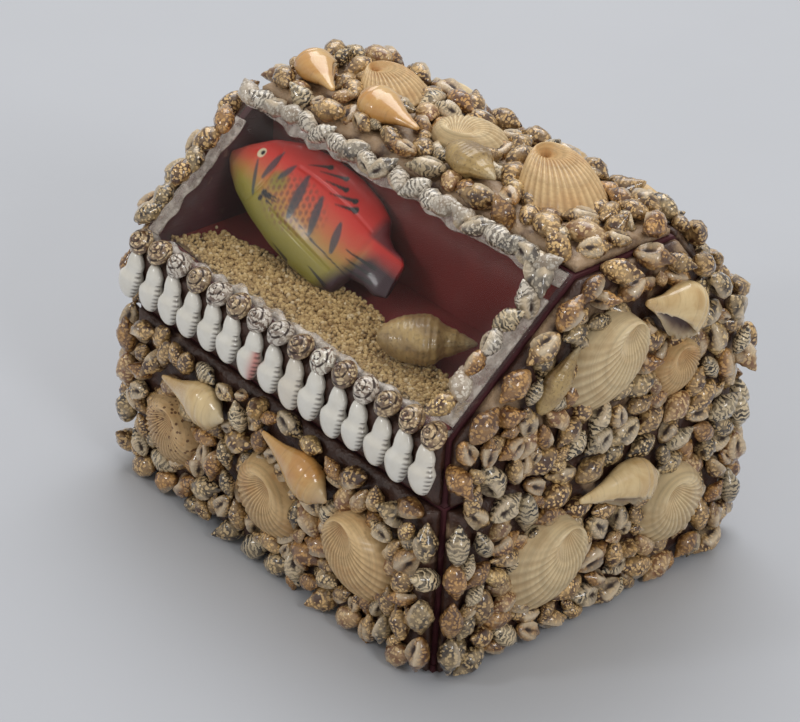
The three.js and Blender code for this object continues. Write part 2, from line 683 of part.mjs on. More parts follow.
// The carved fish. Each station gives the back's and the belly's place along and across the
// fish, and half its thickness there, all as shares of its length; the nose is at the start.
const fishStations = [
  [0.012, 0.015, 0.02, -0.035, 0.014],
  [0.06, 0.075, 0.06, -0.075, 0.04],
  [0.14, 0.15, 0.14, -0.122, 0.06],
  [0.26, 0.208, 0.26, -0.165, 0.075],
  [0.42, 0.234, 0.42, -0.205, 0.082],
  [0.57, 0.232, 0.56, -0.222, 0.078],
  [0.7, 0.206, 0.7, -0.224, 0.064],
  [0.79, 0.17, 0.78, -0.2, 0.048],
  [0.83, 0.115, 0.81, -0.11, 0.036],
  [0.88, 0.088, 0.87, -0.1, 0.028],
  [0.94, 0.08, 0.94, -0.108, 0.024],
  [0.952, 0.06, 0.992, -0.085, 0.014],
];
const fishSides = 10;
function carvedFish(length) {
  const rings = fishStations.map(([backX, backY, bellyX, bellyY, half]) =>
    Array.from({ length: fishSides }, (_, i) => {
      const angle = (i / fishSides) * 2 * Math.PI;
      const share = (1 + Math.sin(angle)) / 2;
      return [
        (bellyX + (backX - bellyX) * share) * length,
        (bellyY + (backY - bellyY) * share) * length,
        Math.cos(angle) * half * length,
      ];
    }));
  return fromRings(rings, [0, -0.008 * length, 0], [0.975 * length, -0.01 * length, 0]);
}

// The fish leans back a little more steeply than the window, with its flank turned to it and its
// nose raised.
const fishTilt = windowAngle + fishSteeper * degree;
const fishTwist = 0.175; // share of its flank's direction that points along the chamber
const fishLean = new THREE.Vector3(fishTwist, -Math.sin(fishTilt), Math.cos(fishTilt)).normalize();
const fishAlong = new THREE.Vector3(0.982, 0.064, -0.178);
const fishUp = new THREE.Vector3().crossVectors(fishLean, fishAlong).normalize();
fishAlong.crossVectors(fishUp, fishLean).normalize();
const fishGeometry = carvedFish(fishShare * windowLength).applyMatrix4(
  new THREE.Matrix4().makeBasis(fishAlong, fishUp, fishLean));
fishGeometry.computeBoundingBox();
const fishBox = fishGeometry.boundingBox;
place(object, "carved_fish", fishGeometry, finishes.fishPaint, [
  -spanX + 2 * touch - fishBox.min.x,
  chamberBackY - touch - fishBox.max.y,
  sandTop + touch - fishBox.min.z,
]);

// The whelk lies on the sand beside the fish, its spire pointing away to the right.
const displayPlace = [0.75, 0.45]; // shares of the chamber's floor
const displayWhelkLength = displayWhelkShare * windowLength;
const displayWhelk = whelk(displayWhelkLength, displayWhelkSlimness * displayWhelkLength, spiredWhelk,
  0.8);
place(object, "display_whelk", displayWhelk, finishes.brownWhelk, [
  (displayPlace[0] - 0.5) * chamberWidth,
  railInside + displayPlace[1] * chamberDepth,
  sandTop + touch,
], 225 * degree);

export default object;
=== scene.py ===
import bpy, json, math
import numpy as np
from mathutils import Matrix, Vector

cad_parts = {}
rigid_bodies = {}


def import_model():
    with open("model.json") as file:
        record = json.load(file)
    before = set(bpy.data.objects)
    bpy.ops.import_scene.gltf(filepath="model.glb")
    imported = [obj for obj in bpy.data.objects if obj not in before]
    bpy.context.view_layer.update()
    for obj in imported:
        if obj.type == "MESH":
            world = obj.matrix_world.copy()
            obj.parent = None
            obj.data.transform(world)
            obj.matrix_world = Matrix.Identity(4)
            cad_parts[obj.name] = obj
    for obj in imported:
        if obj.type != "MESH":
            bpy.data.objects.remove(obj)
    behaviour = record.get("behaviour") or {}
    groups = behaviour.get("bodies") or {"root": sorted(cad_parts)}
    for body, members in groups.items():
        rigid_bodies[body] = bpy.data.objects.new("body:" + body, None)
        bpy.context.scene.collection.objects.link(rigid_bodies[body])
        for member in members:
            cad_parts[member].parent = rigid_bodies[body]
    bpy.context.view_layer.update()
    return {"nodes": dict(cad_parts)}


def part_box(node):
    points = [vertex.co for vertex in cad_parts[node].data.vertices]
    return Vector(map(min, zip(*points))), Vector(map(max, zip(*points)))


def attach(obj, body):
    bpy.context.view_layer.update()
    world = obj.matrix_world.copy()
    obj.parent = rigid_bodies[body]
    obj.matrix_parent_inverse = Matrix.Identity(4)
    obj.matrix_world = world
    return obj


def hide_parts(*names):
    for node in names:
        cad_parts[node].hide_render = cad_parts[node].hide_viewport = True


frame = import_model()
scene = bpy.context.scene
print("frame loaded")

# Lengths are worked out in millimetres and turned into metres when a mesh is made
mm = 0.001

# Camera: the photograph's angle, a long lens from the front right and above
camera = {"lens": 126, "round": 47.1, "down": 31.6, "roll": 3.4, "distance": 839,
          "target": (6.5, -18.6, 60)}
turn, dip, roll = (math.radians(camera[k]) for k in ("round", "down", "roll"))
back = Vector((math.sin(turn) * math.cos(dip), -math.cos(turn) * math.cos(dip), math.sin(dip)))
right = Vector((math.cos(turn), math.sin(turn), 0))
up = back.cross(right)
right, up = (right * math.cos(roll) + up * math.sin(roll), up * math.cos(roll) - right * math.sin(roll))
lens = bpy.data.cameras.new("camera")
lens.lens, lens.sensor_width, lens.sensor_fit = camera["lens"], 36, "HORIZONTAL"
lens.clip_start, lens.clip_end = 0.05, 20
eye = bpy.data.objects.new("camera", lens)
place = (Vector(camera["target"]) + back * camera["distance"]) * mm
eye.matrix_world = Matrix.Translation(place) @ Matrix((right, up, back)).transposed().to_4x4()
scene.collection.objects.link(eye)
scene.camera = eye

# Studio: a big soft lamp over the left rear, smaller ones at the right and the front left, and soft
# light all round; each lamp has its name, place, size and power
studio = {"room": (1.0, 0.965, 0.9, 1), "roomStrength": 0.78,
          "lamps": [("over", (-0.5, 0.55, 1.3), 1.1, 17), ("side", (1.2, -0.2, 0.9), 0.35, 5.5),
                    ("window", (-0.5, -1.2, 0.9), 0.22, 4)],
          "floor": (0.5, 0.522, 0.57, 1), "exposure": -0.5}
scene.view_settings.view_transform = "Standard"
scene.view_settings.exposure = studio["exposure"]
world = bpy.data.worlds.new("room")
scene.world = world
world.use_nodes = True
world.node_tree.nodes["Background"].inputs[0].default_value = studio["room"]
world.node_tree.nodes["Background"].inputs[1].default_value = studio["roomStrength"]
for name, spot, size, power in studio["lamps"]:
    light = bpy.data.lights.new(name, "AREA")
    light.size, light.energy = size, power
    lamp = bpy.data.objects.new(name, light)
    lamp.location = spot
    lamp.rotation_euler = (Vector((0, 0, 0.06)) - Vector(spot)).to_track_quat("-Z", "Y").to_euler()
    scene.collection.objects.link(lamp)


# Node trees, for materials and for Geometry Nodes alike
class Wire:
    def __init__(self, sheet, socket):
        self.sheet, self.socket = sheet, socket

    def __add__(self, other): return self.sheet.maths("ADD", self, other)
    def __radd__(self, other): return self.sheet.maths("ADD", other, self)
    def __sub__(self, other): return self.sheet.maths("SUBTRACT", self, other)
    def __rsub__(self, other): return self.sheet.maths("SUBTRACT", other, self)
    def __mul__(self, other): return self.sheet.maths("MULTIPLY", self, other)
    def __rmul__(self, other): return self.sheet.maths("MULTIPLY", other, self)


class Sheet:
    def __init__(self, tree):
        self.tree = tree

    def node(self, kind, settings=None, inputs=None, output=0):
        made = self.tree.nodes.new(kind)
        for key, value in (settings or {}).items():
            if key == "stops":
                ramp = made.color_ramp
                while len(ramp.elements) < len(value):
                    ramp.elements.new(0.5)
                for stop, (spot, colour) in zip(ramp.elements, value):
                    stop.position, stop.color = spot, (*colour, 1)
            else:
                setattr(made, key, value)
        for key, value in (inputs or {}).items():
            self.plug(made.inputs[key], value)
        return Wire(self, made.outputs[output]) if len(made.outputs) else None

    def plug(self, socket, value):
        if isinstance(value, Wire):
            self.tree.links.new(value.socket, socket)
        elif socket.type == "RGBA" and len(value) == 3:
            socket.default_value = (*value, 1)
        else:
            socket.default_value = value

    def maths(self, operation, a, b):
        return self.node("ShaderNodeMath", {"operation": operation}, {0: a, 1: b})

    def soft(self, value, low, high):
        return self.node("ShaderNodeMapRange", {"interpolation_type": "SMOOTHSTEP"},
                         {0: value, 1: low, 2: high})

    def mix(self, share, a, b, way="MIX"):
        return self.node("ShaderNodeMix", {"data_type": "RGBA", "blend_type": way},
                         {0: share, 6: a, 7: b}, 2)

    def ramp(self, value, stops):
        return self.node("ShaderNodeValToRGB", {"stops": stops}, {0: value})

    def attribute(self, name, output=2):    # 0 colour, 1 vector, 2 number
        return self.node("ShaderNodeAttribute", {"attribute_name": name}, {}, output)

    def place(self):
        return self.node("ShaderNodeTexCoord", output=3)

    def stretch(self, vector, scale):
        return self.node("ShaderNodeMapping", {}, {0: vector, 3: scale})

    def join(self, x, y=0.0, z=0.0):
        return self.node("ShaderNodeCombineXYZ", {}, {0: x, 1: y, 2: z})

    def vector(self, operation, a, b):      # b is a vector, or a number for SCALE
        return self.node("ShaderNodeVectorMath", {"operation": operation},
                         {0: a, 3 if operation == "SCALE" else 1: b})

    def noise(self, vector, scale, detail=3, rough=0.55, twist=0.0, output=0):
        return self.node("ShaderNodeTexNoise", {}, {0: vector, "Scale": scale, "Detail": detail,
                         "Roughness": rough, "Distortion": twist}, output)

    def cells(self, vector, scale):
        return self.node("ShaderNodeTexVoronoi", {}, {0: vector, "Scale": scale})

    def bump(self, height, depth, strength=1.0):
        return self.node("ShaderNodeBump", {}, {"Height": height, "Distance": depth,
                         "Strength": strength})


def finish(name, build):
    material = bpy.data.materials.new(name)
    material.use_nodes = True
    material.node_tree.nodes.clear()
    sheet = Sheet(material.node_tree)
    shader = sheet.node("ShaderNodeBsdfPrincipled", {}, build(sheet))
    sheet.node("ShaderNodeOutputMaterial", {}, {0: shader})
    return material


# Finishes. Patterns in real lengths read Object coordinates, in metres.
def paintedWood(s):
    p = s.place()
    grain = s.noise(s.stretch(p, (60, 60, 700)), 1, 4)
    wear = s.soft(s.noise(p, 160, 5, 0.65), 0.6, 0.74)
    paint = s.mix(grain, (0.05, 0.011, 0.016), (0.105, 0.022, 0.03))
    return {"Base Color": s.mix(wear * 0.55, paint, (0.32, 0.17, 0.13)),
            "Roughness": 0.5 + grain * 0.3, "Normal": s.bump(grain + wear * 0.3, 0.0004, 0.6)}


def flockFinish(s):
    p = s.place()
    fibre = s.noise(p, 2600, 3, 0.7)
    cloud = s.noise(p, 70, 4)
    lint = s.soft(s.cells(p, 700), 0.09, 0.05) * s.soft(s.noise(p, 240), 0.5, 0.62)
    felt = s.mix(cloud, (0.14, 0.011, 0.012), (0.28, 0.028, 0.026))
    return {"Base Color": s.mix(lint * 0.5 + fibre * 0.1, felt, (0.45, 0.17, 0.13)),
            "Roughness": 0.93, "Normal": s.bump(fibre, 0.0005, 0.9),
            "Sheen Weight": 0.06, "Sheen Roughness": 0.5, "Sheen Tint": (0.7, 0.25, 0.22)}


def filmFinish(s):
    p = s.place()
    haze = s.noise(p, 45, 4, 0.6)
    smear = s.noise(s.stretch(p, (20, 160, 160)), 1, 3)
    rim = s.attribute("rim")
    return {"Base Color": (0.35, 0.35, 0.34), "Roughness": 0.05 + smear * 0.06, "IOR": 2.4,
            "Alpha": 0.012 + s.soft(haze, 0.5, 0.85) * 0.02 + rim * 0.05,
            "Normal": s.bump(haze, 0.0008, 0.4)}


def glueFinish(s):
    p = s.place()
    cloud = s.noise(p, 130, 4, 0.6)
    milky = s.attribute("milky")
    share = s.soft(cloud + milky - 0.5, 0.42, 0.75)
    base = s.mix(s.noise(p, 420, 3), (0.022, 0.009, 0.007), (0.085, 0.036, 0.022))
    return {"Base Color": s.mix(share, base, (0.42, 0.29, 0.18)),
            "Roughness": 0.3 + s.noise(p, 300) * 0.25, "Coat Weight": 0.12, "Coat Roughness": 0.15,
            "Normal": s.bump(s.noise(p, 500, 4, 0.6), 0.0009, 0.8)}


def milkyGlueFinish(s):
    p = s.place()
    cloud = s.noise(p, 210, 4, 0.6)
    return {"Base Color": s.mix(cloud, (0.62, 0.52, 0.45), (0.88, 0.84, 0.78)),
            "Roughness": 0.14 + s.noise(p, 400) * 0.2, "Coat Weight": 0.6, "Coat Roughness": 0.1,
            "Alpha": 0.3 + s.soft(cloud, 0.42, 0.62) * 0.4,
            "Normal": s.bump(s.noise(p, 460, 4, 0.6), 0.0012, 0.9)}


def smallShellFinish(s):
    p = s.attribute("shellPlace", 1)
    ground, mark = s.attribute("ground", 0), s.attribute("mark", 0)
    # the mouth share is painted shade: the dented aperture, and the button shells' spiral groove, are
    # coloured near black where shade would fall inside them
    kind, mouth, lip = s.attribute("kind"), s.soft(s.attribute("mouth"), 0.4, 0.85), s.attribute("lip")
    tint = s.attribute("tint")
    spun = s.vector("ADD", p, s.join(tint * 13, tint * 7, tint * 5))        # another part for each shell
    wander = s.vector("ADD", spun, s.vector("SCALE", s.noise(spun, 6, 2, output=1), 0.16))
    net = s.soft(s.cells(s.stretch(wander, (1.25, 1, 1)), 9.5), 0.36, 0.5)
    zigzag = s.soft(s.node("ShaderNodeTexWave", {"bands_direction": "X"},
                    {0: wander, "Scale": 2.5, "Distortion": 7.0, "Detail": 2.0,
                     "Detail Scale": 2.2}), 0.42, 0.6)
    figure = s.mix(kind, net, zigzag)
    worn = s.soft(s.noise(spun, 3, 3), 0.35, 0.62)
    shell = s.mix(s.node("ShaderNodeRGBToBW", {}, {0: figure}) * (0.5 + worn * 0.5), ground, mark)
    shell = s.mix(s.noise(spun, 2.2, 2) * 0.55, shell, (0.29, 0.15, 0.055), "MULTIPLY")
    shell = s.mix(s.soft(s.noise(spun, 4, 2), 0.62, 0.8) * 0.4, shell, (0.75, 0.66, 0.5))
    shell = s.mix(lip, shell, (0.72, 0.58, 0.4))
    # painted shade: near black where the mouth share is high
    return {"Base Color": s.mix(mouth, shell, (0.03, 0.014, 0.01)),
            "Roughness": 0.22 + s.noise(spun, 9) * 0.2 + mouth * 0.3, "Coat Weight": 1 - mouth,
            "Coat Roughness": 0.05, "Normal": s.bump(s.noise(spun, 14, 3) + net * 0.25, 0.0005, 0.7)}


def cockleFinish(ground, stain, spots, stainShare):
    def build(s):
        p = s.place()
        along, rib = s.attribute("along"), s.attribute("rib")
        rings = s.noise(s.join(along * 9, s.attribute("seed") * 7), 1, 4, 0.7)
        cloud = s.noise(p, 120, 4, 0.6)
        tone = s.mix(s.soft(rings, 0.35, 0.7), ground, tuple(c * 0.72 for c in ground))
        tone = s.mix(s.soft(cloud, 0.45, 0.7) * stainShare, tone, stain)
        # painted shade: the grooves between the ribs are darkened in step with their depth
        tone = s.mix((1 - rib) * 0.6, tone, tuple(c * k for c, k in zip(ground, (0.42, 0.33, 0.25))))
        tone = s.mix(s.soft(along, 0.24, 0.0) * 0.55, tone, stain)
        flecks = s.soft(s.cells(p, 620), 0.36, 0.27) * s.soft(s.noise(p, 180), 0.38, 0.52)
        return {"Base Color": s.mix(flecks * spots, tone, (0.13, 0.055, 0.025)),
                "Roughness": 0.38 + cloud * 0.2, "Coat Weight": 0.35, "Coat Roughness": 0.2,
                "Normal": s.bump(s.noise(p, 900, 3) + rings * 0.8, 0.0004, 0.5)}
    return build


def whelkFinish(ground, stain, tip, shine, band):
    def build(s):
        p = s.place()
        along, mouth, lip = s.attribute("along"), s.attribute("mouth"), s.attribute("lip")
        cloud = s.noise(p, 95, 4, 0.55, 0.6)
        tone = s.mix(s.soft(cloud, 0.36, 0.68), ground, stain)
        tone = s.mix(s.soft(along, 0.22, 0.02) * 0.65, tone, tip)
        lines = s.noise(s.join(along * 30, s.attribute("round") * band), 1, 3)
        dark = tuple(c * 0.4 for c in stain)
        tone = s.mix(s.soft(lines, 0.5, 0.72) * (0.25 if band < 3 else 0.6), tone, dark)
        tone = s.mix(lip * 0.7, tone, (0.78, 0.66, 0.48))
        # painted shade: the aperture is coloured near black where the mouth share is high
        return {"Base Color": s.mix(mouth, tone, (0.07, 0.025, 0.015)),
                "Roughness": 0.5 - shine * 0.32 + cloud * 0.08, "Coat Weight": (1 - mouth) * shine,
                "Coat Roughness": 0.07,
                "Normal": s.bump(s.noise(p, 260, 4, 0.6) + lines * 0.3, 0.0006, 0.8 - shine * 0.6)}
    return build


def paleFinish(s):
    p = s.attribute("shellPlace", 1)
    tint = s.attribute("tint")
    mark, pink = s.attribute("mark"), s.attribute("pink")
    cloud = s.noise(s.place(), 300, 3)
    white = s.mix(cloud, (0.66, 0.63, 0.56), (0.84, 0.83, 0.79))
    white = s.mix(s.soft(tint, 0.75, 1.0) * 0.35, white, (0.62, 0.5, 0.36))
    white = s.mix(pink, white, (0.6, 0.25, 0.22))
    return {"Base Color": s.mix(mark, white, (0.05, 0.03, 0.025)), "Roughness": 0.22,
            "Coat Weight": 0.5, "Coat Roughness": 0.1,
            "Normal": s.bump(s.noise(p, 9, 2), 0.0002, 0.3)}


def sandFinish(s):
    tint = s.attribute("tint")
    grain = s.ramp(tint, [(0.0, (0.34, 0.21, 0.075)), (0.45, (0.55, 0.38, 0.155)),
                          (0.85, (0.7, 0.51, 0.23)), (1.0, (0.77, 0.63, 0.4))])
    return {"Base Color": s.mix(s.noise(s.place(), 900, 2) * 0.4, grain, (0.3, 0.19, 0.1)),
            "Roughness": 0.8, "Normal": s.bump(s.noise(s.place(), 3000, 2), 0.0003, 0.6)}


def fishFinish(s):
    along, height = s.attribute("along"), s.attribute("height")
    brush = s.noise(s.place(), 260, 4, 0.6)
    level = height + (brush - 0.5) * 0.12 + along * 0.05
    body = s.ramp(level, [(0.0, (0.16, 0.15, 0.02)), (0.24, (0.29, 0.24, 0.03)),
                          (0.4, (0.48, 0.21, 0.05)), (0.56, (0.62, 0.1, 0.05)),
                          (0.72, (0.7, 0.035, 0.025)), (1.0, (0.6, 0.022, 0.018))])
    body = s.mix(s.soft(along, 0.16, 0.02) * 0.65, body, (0.42, 0.1, 0.06))
    body = s.mix(s.attribute("leaf") * 0.8, body, (0.2, 0.23, 0.03))
    body = s.mix(s.attribute("net") * 0.7, body, (0.17, 0.05, 0.035))
    body = s.mix(s.attribute("stripe") * 0.85, body, (0.02, 0.045, 0.065))
    body = s.mix(s.attribute("tail"), body, (0.035, 0.01, 0.02))
    body = s.mix(s.attribute("ring"), body, (0.78, 0.68, 0.46))
    return {"Base Color": s.mix(s.attribute("stroke"), body, (0.012, 0.008, 0.01)),
            "Roughness": 0.4 + brush * 0.14, "Coat Weight": 0.3, "Coat Roughness": 0.14,
            "Normal": s.bump(brush, 0.0006, 0.35)}


# Each look: its material, its slot in the record and what builds it
cream, tan, amber = (0.86, 0.69, 0.42), (0.78, 0.55, 0.28), (0.55, 0.28, 0.09)
looks, slots = {}, {}
for look, material, slot, build in [
        ("paintedWood", "paintedWood", "painted_wood", paintedWood),
        ("flock", "flock", "flock", flockFinish),
        ("film", "clearFilm", "window_film", filmFinish),
        ("glue", "glue", "small_shells", glueFinish),
        ("milkyGlue", "milkyGlue", "small_shells", milkyGlueFinish),
        ("smallShell", "smallShell", "small_shells", smallShellFinish),
        ("pale", "paleShell", "pale_shells", paleFinish),
        ("sand", "sandGrain", "sand", sandFinish),
        ("fish", "fishPaint", "fish_paint", fishFinish),
        ("creamCockle", "creamCockle", "cockle_cream", cockleFinish(cream, (0.5, 0.3, 0.12), 0.0, 0.35)),
        ("tanCockle", "tanCockle", "cockle_tan", cockleFinish(tan, (0.55, 0.27, 0.09), 0.12, 0.5)),
        ("spottedCockle", "spottedCockle", "cockle_spotted",
         cockleFinish((0.72, 0.5, 0.26), amber, 0.9, 0.35)),
        ("creamWhelk", "creamWhelk", "whelk_cream",
         whelkFinish((0.76, 0.58, 0.31), (0.55, 0.35, 0.14), (0.62, 0.55, 0.38), 0.85, 0.5)),
        ("orangeWhelk", "orangeWhelk", "whelk_orange",
         whelkFinish((0.66, 0.42, 0.16), (0.56, 0.28, 0.08), (0.5, 0.42, 0.28), 0.9, 0.5)),
        ("brownWhelk", "brownWhelk", "whelk_brown",
         whelkFinish((0.46, 0.32, 0.13), (0.24, 0.15, 0.06), (0.42, 0.35, 0.22), 0.45, 5))]:
    looks[look], slots[look] = finish(material, build), slot
print("finishes made")


# Meshes
def solid(name, points, faces, look, extras=None, linked=True):
    mesh = bpy.data.meshes.new(name)
    mesh.from_pydata((np.asarray(points, float) * mm).tolist(), [], [list(map(int, f)) for f in faces])
    mesh.materials.append(looks[look])
    mesh.shade_smooth()
    for key, values in (extras or {}).items():
        values = np.asarray(values, float)
        kind, field = ("FLOAT", "value") if values.ndim == 1 else ("FLOAT_VECTOR", "vector")
        mesh.attributes.new(key, kind, "POINT").data.foreach_set(field, values.ravel())
    made = bpy.data.objects.new(name, mesh)
    if linked:
        scene.collection.objects.link(made)
    return made


def keep(piece, look, *nodes):
    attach(piece, "root")
    if nodes:
        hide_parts(*nodes)
    return piece


def skin(rings, first=None, last=None):     # a closed skin over rings of equal count
    rings = np.asarray(rings, float)
    count, sides = rings.shape[:2]
    points = rings.reshape(-1, 3).tolist()
    faces = []
    for r in range(count - 1):
        for i in range(sides):
            a, b = r * sides + i, r * sides + (i + 1) % sides
            faces.append((a, b, b + sides, a + sides))
    ends = [(rings[0].mean(0) if first is None else first, 0, True),
            (rings[-1].mean(0) if last is None else last, (count - 1) * sides, False)]
    for tip, start, flip in ends:
        points.append(list(tip))
        for i in range(sides):
            a, b = start + i, start + (i + 1) % sides
            faces.append((len(points) - 1, b, a) if flip else (len(points) - 1, a, b))
    at = np.array(points)
    bulk = sum(np.dot(at[f[0]], np.cross(at[f[i]], at[f[i + 1]]))
               for f in faces for i in range(1, len(f) - 1))
    return at, faces if bulk > 0 else [tuple(reversed(f)) for f in faces]


def slab(upper, lower):     # a closed slab between two equal grids of points
    rows, cols = upper.shape[0] - 1, upper.shape[1] - 1
    wide, n = cols + 1, (rows + 1) * (cols + 1)
    quads = []
    for r in range(rows):
        for c in range(cols):
            a = r * wide + c
            quads += [(a, a + 1, a + wide + 1, a + wide), (n + a, n + a + wide, n + a + wide + 1, n + a + 1)]
    ring = [*range(cols), *[r * wide + cols for r in range(rows)],
            *[rows * wide + c for c in range(cols, 0, -1)], *[r * wide for r in range(rows, 0, -1)]]
    quads += [(a + n, b + n, b, a) for a, b in zip(ring, ring[1:] + ring[:1])]
    return np.vstack([upper.reshape(-1, 3), lower.reshape(-1, 3)]), quads


def stream(seed):
    state = [seed]
    def draw():
        state[0] = (state[0] * 1664525 + 1013904223) % 4294967296
        return state[0] / 4294967296
    return draw


def ripple(u, v, seed, size, waves=9):      # a smooth uneven surface between about -1 and 1
    draw = stream(seed)
    total = np.zeros(np.broadcast(u, v).shape)
    for _ in range(waves):
        angle, phase, fine = draw() * 6.283, draw() * 6.283, (0.6 + 1.6 * draw()) / size
        total = total + np.sin((u * math.cos(angle) + v * math.sin(angle)) * fine * 6.283 + phase)
    return total / (waves / 2)


# The wooden box, in the same sizes as its solids
box = {"width": 140, "depth": 115, "trayHeight": 57.5, "board": 2.5, "touch": 0.3, "frontRail": 22,
       "rearRail": 22, "lidHeight": 59.5, "windowRun": 44, "flatTop": 39, "chamberFloor": 20.5,
       "chamberSetback": 4, "film": 0.8, "bed": 3.6, "inset": 0.9, "border": 9, "borderShell": 10.4}
halfX, halfY = box["width"] / 2, box["depth"] / 2
seam = box["trayHeight"] + box["touch"]
lidTop, railTop = seam + box["lidHeight"], seam + box["frontRail"]
windowTopY = box["windowRun"] - halfY
windowAngle = math.atan2(lidTop - railTop, box["windowRun"])
windowLength = math.hypot(lidTop - railTop, box["windowRun"])
rearRise, rearRun = box["lidHeight"] - box["rearRail"], halfY - windowTopY - box["flatTop"]
rearAngle, rearLength = math.atan2(rearRise, rearRun), math.hypot(rearRise, rearRun)
spanX = halfX - box["board"] - box["touch"]
railInside = -halfY + box["board"]
chamberFloor = seam + box["chamberFloor"]
chamberBack = windowTopY + box["chamberSetback"]


def rectangle(w, h): return [(0, 0), (w, 0), (w, h), (0, h)]


def face(origin, u, v, outline):
    u, v = np.array(u, float), np.array(v, float)
    return {"origin": np.array(origin, float), "axes": np.array([u, v, np.cross(u, v)]),
            "outline": outline}


side = [(0, 0), (box["depth"], 0), (box["depth"], box["rearRail"]),
        (box["windowRun"] + box["flatTop"], box["lidHeight"]), (box["windowRun"], box["lidHeight"]),
        (0, box["frontRail"])]
mirrored = [(box["depth"] - u, v) for u, v in reversed(side)]
w, d, h = box["width"], box["depth"], box["trayHeight"]
faces = {
    "trayFront": face((-halfX, -halfY, 0), (1, 0, 0), (0, 0, 1), rectangle(w, h)),
    "trayRight": face((halfX, -halfY, 0), (0, 1, 0), (0, 0, 1), rectangle(d, h)),
    "trayBack": face((halfX, halfY, 0), (-1, 0, 0), (0, 0, 1), rectangle(w, h)),
    "trayLeft": face((-halfX, halfY, 0), (0, -1, 0), (0, 0, 1), rectangle(d, h)),
    "lidRight": face((halfX, -halfY, seam), (0, 1, 0), (0, 0, 1), side),
    "lidLeft": face((-halfX, halfY, seam), (0, -1, 0), (0, 0, 1), mirrored),
    "lidTop": face((-halfX, windowTopY, lidTop), (1, 0, 0), (0, 1, 0), rectangle(w, box["flatTop"])),
    "rearSlope": face((halfX, halfY, seam + box["rearRail"]), (-1, 0, 0),
                      (0, -math.cos(rearAngle), math.sin(rearAngle)), rectangle(w, rearLength)),
    "rearRail": face((halfX, halfY, seam), (-1, 0, 0), (0, 0, 1), rectangle(w, box["rearRail"])),
    "frontRail": face((-halfX, -halfY, seam), (1, 0, 0), (0, 0, 1), rectangle(w, box["frontRail"])),
    "window": face((-halfX, -halfY, railTop), (1, 0, 0),
                   (0, math.cos(windowAngle), math.sin(windowAngle)), rectangle(w, windowLength)),
}


def onFace(key, points):
    return faces[key]["origin"] + np.asarray(points, float) @ faces[key]["axes"]


def turnedBy(angle):        # turns rows of points in their plane, as points @ turnedBy(angle)
    c, s = math.cos(angle), math.sin(angle)
    return np.array([[c, s, 0], [-s, c, 0], [0, 0, 1]])


flocked = ("lid_display_floor", "lid_display_back")
for name, node in frame["nodes"].items():
    node.data.materials.clear()
    node.data.materials.append(looks["flock" if name in flocked else "paintedWood"])

# Cockles: ribs run from the hinge to a scalloped edge, over a domed back
cockleForm = {"perRib": 5, "rings": 22, "hinge": 0.92, "ribDepth": 0.95, "rise": 0.3, "top": 0.36,
              "scallop": 0.025, "shoulder": 0.08, "terraces": 5, "terraceDepth": 0.005, "foot": 0.985,
              "ribs": {"tanCockle": 30, "creamCockle": 26, "spottedCockle": 33}}


def cockle(across, along, ribs, seed):
    form = cockleForm
    count = ribs * form["perRib"]
    phi = np.arange(count) / count * 2 * math.pi + math.pi / 2
    wave = np.cos(np.arange(count) * 2 * math.pi / form["perRib"])
    rib = 0.5 - 0.5 * wave
    front = np.clip(0.75 - np.sin(phi), 0, 1)           # ribs fade out on the hinge's side
    scallop = 1 - form["scallop"] * (1 - rib) * front
    shoulder = 1 - form["shoulder"] * np.maximum(0, np.sin(phi)) ** 2
    rim = np.stack([np.cos(phi) * across / 2 * scallop * shoulder, np.sin(phi) * along / 2 * scallop], 1)
    hinge = np.array([0, form["hinge"] * along / 2])
    rise, top = form["rise"] * along, form["top"]
    draw = stream(seed)
    steps = [draw() for _ in range(form["terraces"])]
    rings, alongs, ribsAt = [], [], []
    for s in np.linspace(0.03, 1, form["rings"]):
        dome = (1 - max(0, (s - top) / (1 - top)) ** 2.3) * (0.4 + 0.6 * min(1, s / top) ** 0.7)
        terrace = sum(form["terraceDepth"] * math.exp(-((s - 0.35 - 0.6 * k) / 0.012) ** 2) for k in steps)
        depth = form["ribDepth"] * min(1, s * 2.2) * (1 - 0.35 * s)
        height = rise * (dome - terrace) - (1 - rib) * front * depth * (0.25 + 0.75 * dome)
        height = np.maximum(height, 0.35 * s) * (1 if s < 0.999 else 0) + (0.5 if s > 0.999 else 0)
        at = hinge + (rim - hinge) * s
        rings.append(np.column_stack([at, height]))
        alongs.append(np.full(count, s))
        # the rib share, lower in the grooves, also darkens the grooves as painted shade in the finish
        ribsAt.append(1 - (1 - rib) * front)
    rings.append(np.column_stack([rim * form["foot"], np.zeros(count)]))
    alongs.append(np.full(count, 1.0))
    ribsAt.append(np.ones(count))
    points, quads = skin(rings, (hinge[0], hinge[1], rise * 0.4), (0, 0, 0.2))
    extra = {"along": np.concatenate([*alongs, [0, 1]]), "rib": np.concatenate([*ribsAt, [1, 1]]),
             "seed": np.full(len(points), seed % 17)}
    return points, quads, extra


